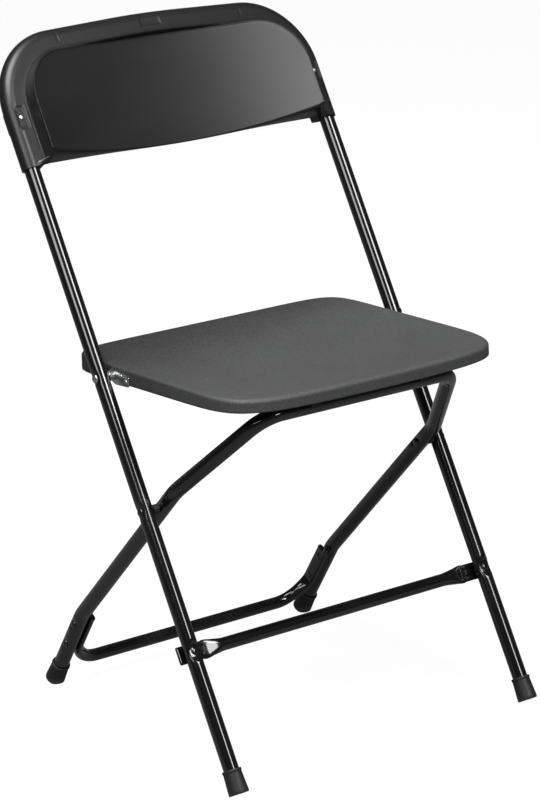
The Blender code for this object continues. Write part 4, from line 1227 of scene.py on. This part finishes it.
def plain_floor(seen, cast):
    """A floor that looks white to the camera and throws much less light up at the chair."""
    f = Finish("pale_floor")
    to_camera = f.node("ShaderNodeLightPath", {}, {}, "Is Camera Ray")
    f.set(Base_Color=(0.08, 0.08, 0.08, 1.0), Roughness=0.85, Specular_IOR_Level=0.1,
          Emission_Color=f.blend(to_camera, grey(cast), grey(seen)), Emission_Strength=1.0)
    corners = [(a * FLOOR_HALF, b * FLOOR_HALF, 0.0)
               for a, b in ((-1.0, -1.0), (1.0, -1.0), (1.0, 1.0), (-1.0, 1.0))]
    mesh = bpy.data.meshes.new("floor")
    mesh.from_pydata(corners, [], [(0, 1, 2, 3)])
    mesh.materials.append(f.material)
    floor = bpy.data.objects.new("floor", mesh)
    bpy.context.scene.collection.objects.link(floor)
    floor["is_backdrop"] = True


plain_floor(0.95, 0.08)
print("floor:", 2.0 * FLOOR_HALF, "m square")

# %% [markdown]
# Four soft lamps light the chair. Two strips, one far to the left and one
# nearly ahead, draw the long highlights down the tubes. A large lamp high on
# the left lights the seat, and one high and a little to the right makes the
# backrest paler towards its upper right. The surroundings look white to the
# camera but cast almost nothing.

# %% Lamps and surroundings
LAMP_TARGET = Vector((0.0, 0.0, 0.4))


def soft_lamp(name, azimuth, elevation, distance, width, height, power):
    """A rectangular lamp that looks at the chair; azimuth 0 is straight ahead of it."""
    data = bpy.data.lights.new(name, "AREA")
    data.shape = "RECTANGLE"
    data.size = width
    data.size_y = height
    data.energy = power
    lamp = bpy.data.objects.new(name, data)
    bpy.context.scene.collection.objects.link(lamp)
    a, e = math.radians(azimuth), math.radians(elevation)
    towards = Vector((math.sin(a) * math.cos(e), -math.cos(a) * math.cos(e), math.sin(e)))
    lamp.location = LAMP_TARGET + distance * towards
    lamp.rotation_euler = (-towards).to_track_quat("-Z", "Y").to_euler()


def studio_world(seen, cast):
    """Surroundings that look white to the camera and light the chair much less."""
    world = bpy.data.worlds.new("studio")
    world.use_nodes = True
    nodes, links = world.node_tree.nodes, world.node_tree.links
    dim = nodes["Background"]
    dim.inputs["Strength"].default_value = cast
    bright = nodes.new("ShaderNodeBackground")
    bright.inputs["Strength"].default_value = seen
    for background in (dim, bright):
        background.inputs["Color"].default_value = (1.0, 1.0, 1.0, 1.0)
    share = nodes.new("ShaderNodeMixShader")
    links.new(nodes.new("ShaderNodeLightPath").outputs["Is Camera Ray"], share.inputs[0])
    links.new(dim.outputs[0], share.inputs[1])
    links.new(bright.outputs[0], share.inputs[2])
    links.new(share.outputs[0], nodes["World Output"].inputs["Surface"])
    bpy.context.scene.world = world


soft_lamp("left strip", -66.0, 34.0, 2.6, 1.15, 0.95, 18.0)
soft_lamp("right strip", 5.0, 30.0, 2.6, 0.50, 1.0, 16.0)
soft_lamp("high left", -75.0, 72.0, 3.0, 2.0, 2.0, 150.0)
soft_lamp("high right", 15.0, 46.0, 3.0, 0.95, 0.80, 29.0)
studio_world(1.0, 0.05)
bpy.context.scene.view_settings.view_transform = "Standard"

# %% [markdown]
# The camera stands ahead and to the left, about 1.5 m above the floor, with a
# long lens, so that the chair's proportions are hardly changed by perspective.

# %% Camera
CAMERA_PLACE = (-2.1456, -2.7738, 1.4856)
CAMERA_DOWN = math.radians(17.836)  # below the horizontal
CAMERA_TURN = math.radians(-37.861)

camera_data = bpy.data.cameras.new("camera")
camera_data.lens = 143.04
camera_data.sensor_width = 36.0
camera_data.clip_end = 100.0
camera = bpy.data.objects.new("camera", camera_data)
camera.location = CAMERA_PLACE
camera.rotation_euler = (0.5 * math.pi - CAMERA_DOWN, 0.0, CAMERA_TURN)
bpy.context.scene.collection.objects.link(camera)
bpy.context.scene.camera = camera
print("camera at", CAMERA_PLACE)

# %% [markdown]
# Last, the size of what shows is printed beside the size of the frame.

# %% Sizes and finish
made_low, made_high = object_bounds()
sizes = {"frame": [list(frame_low), list(frame_high)], "looks": [list(made_low), list(made_high)]}
print("frame box", [round(v, 4) for v in (*frame_low, *frame_high)])
print("looks box", [round(v, 4) for v in (*made_low, *made_high)])
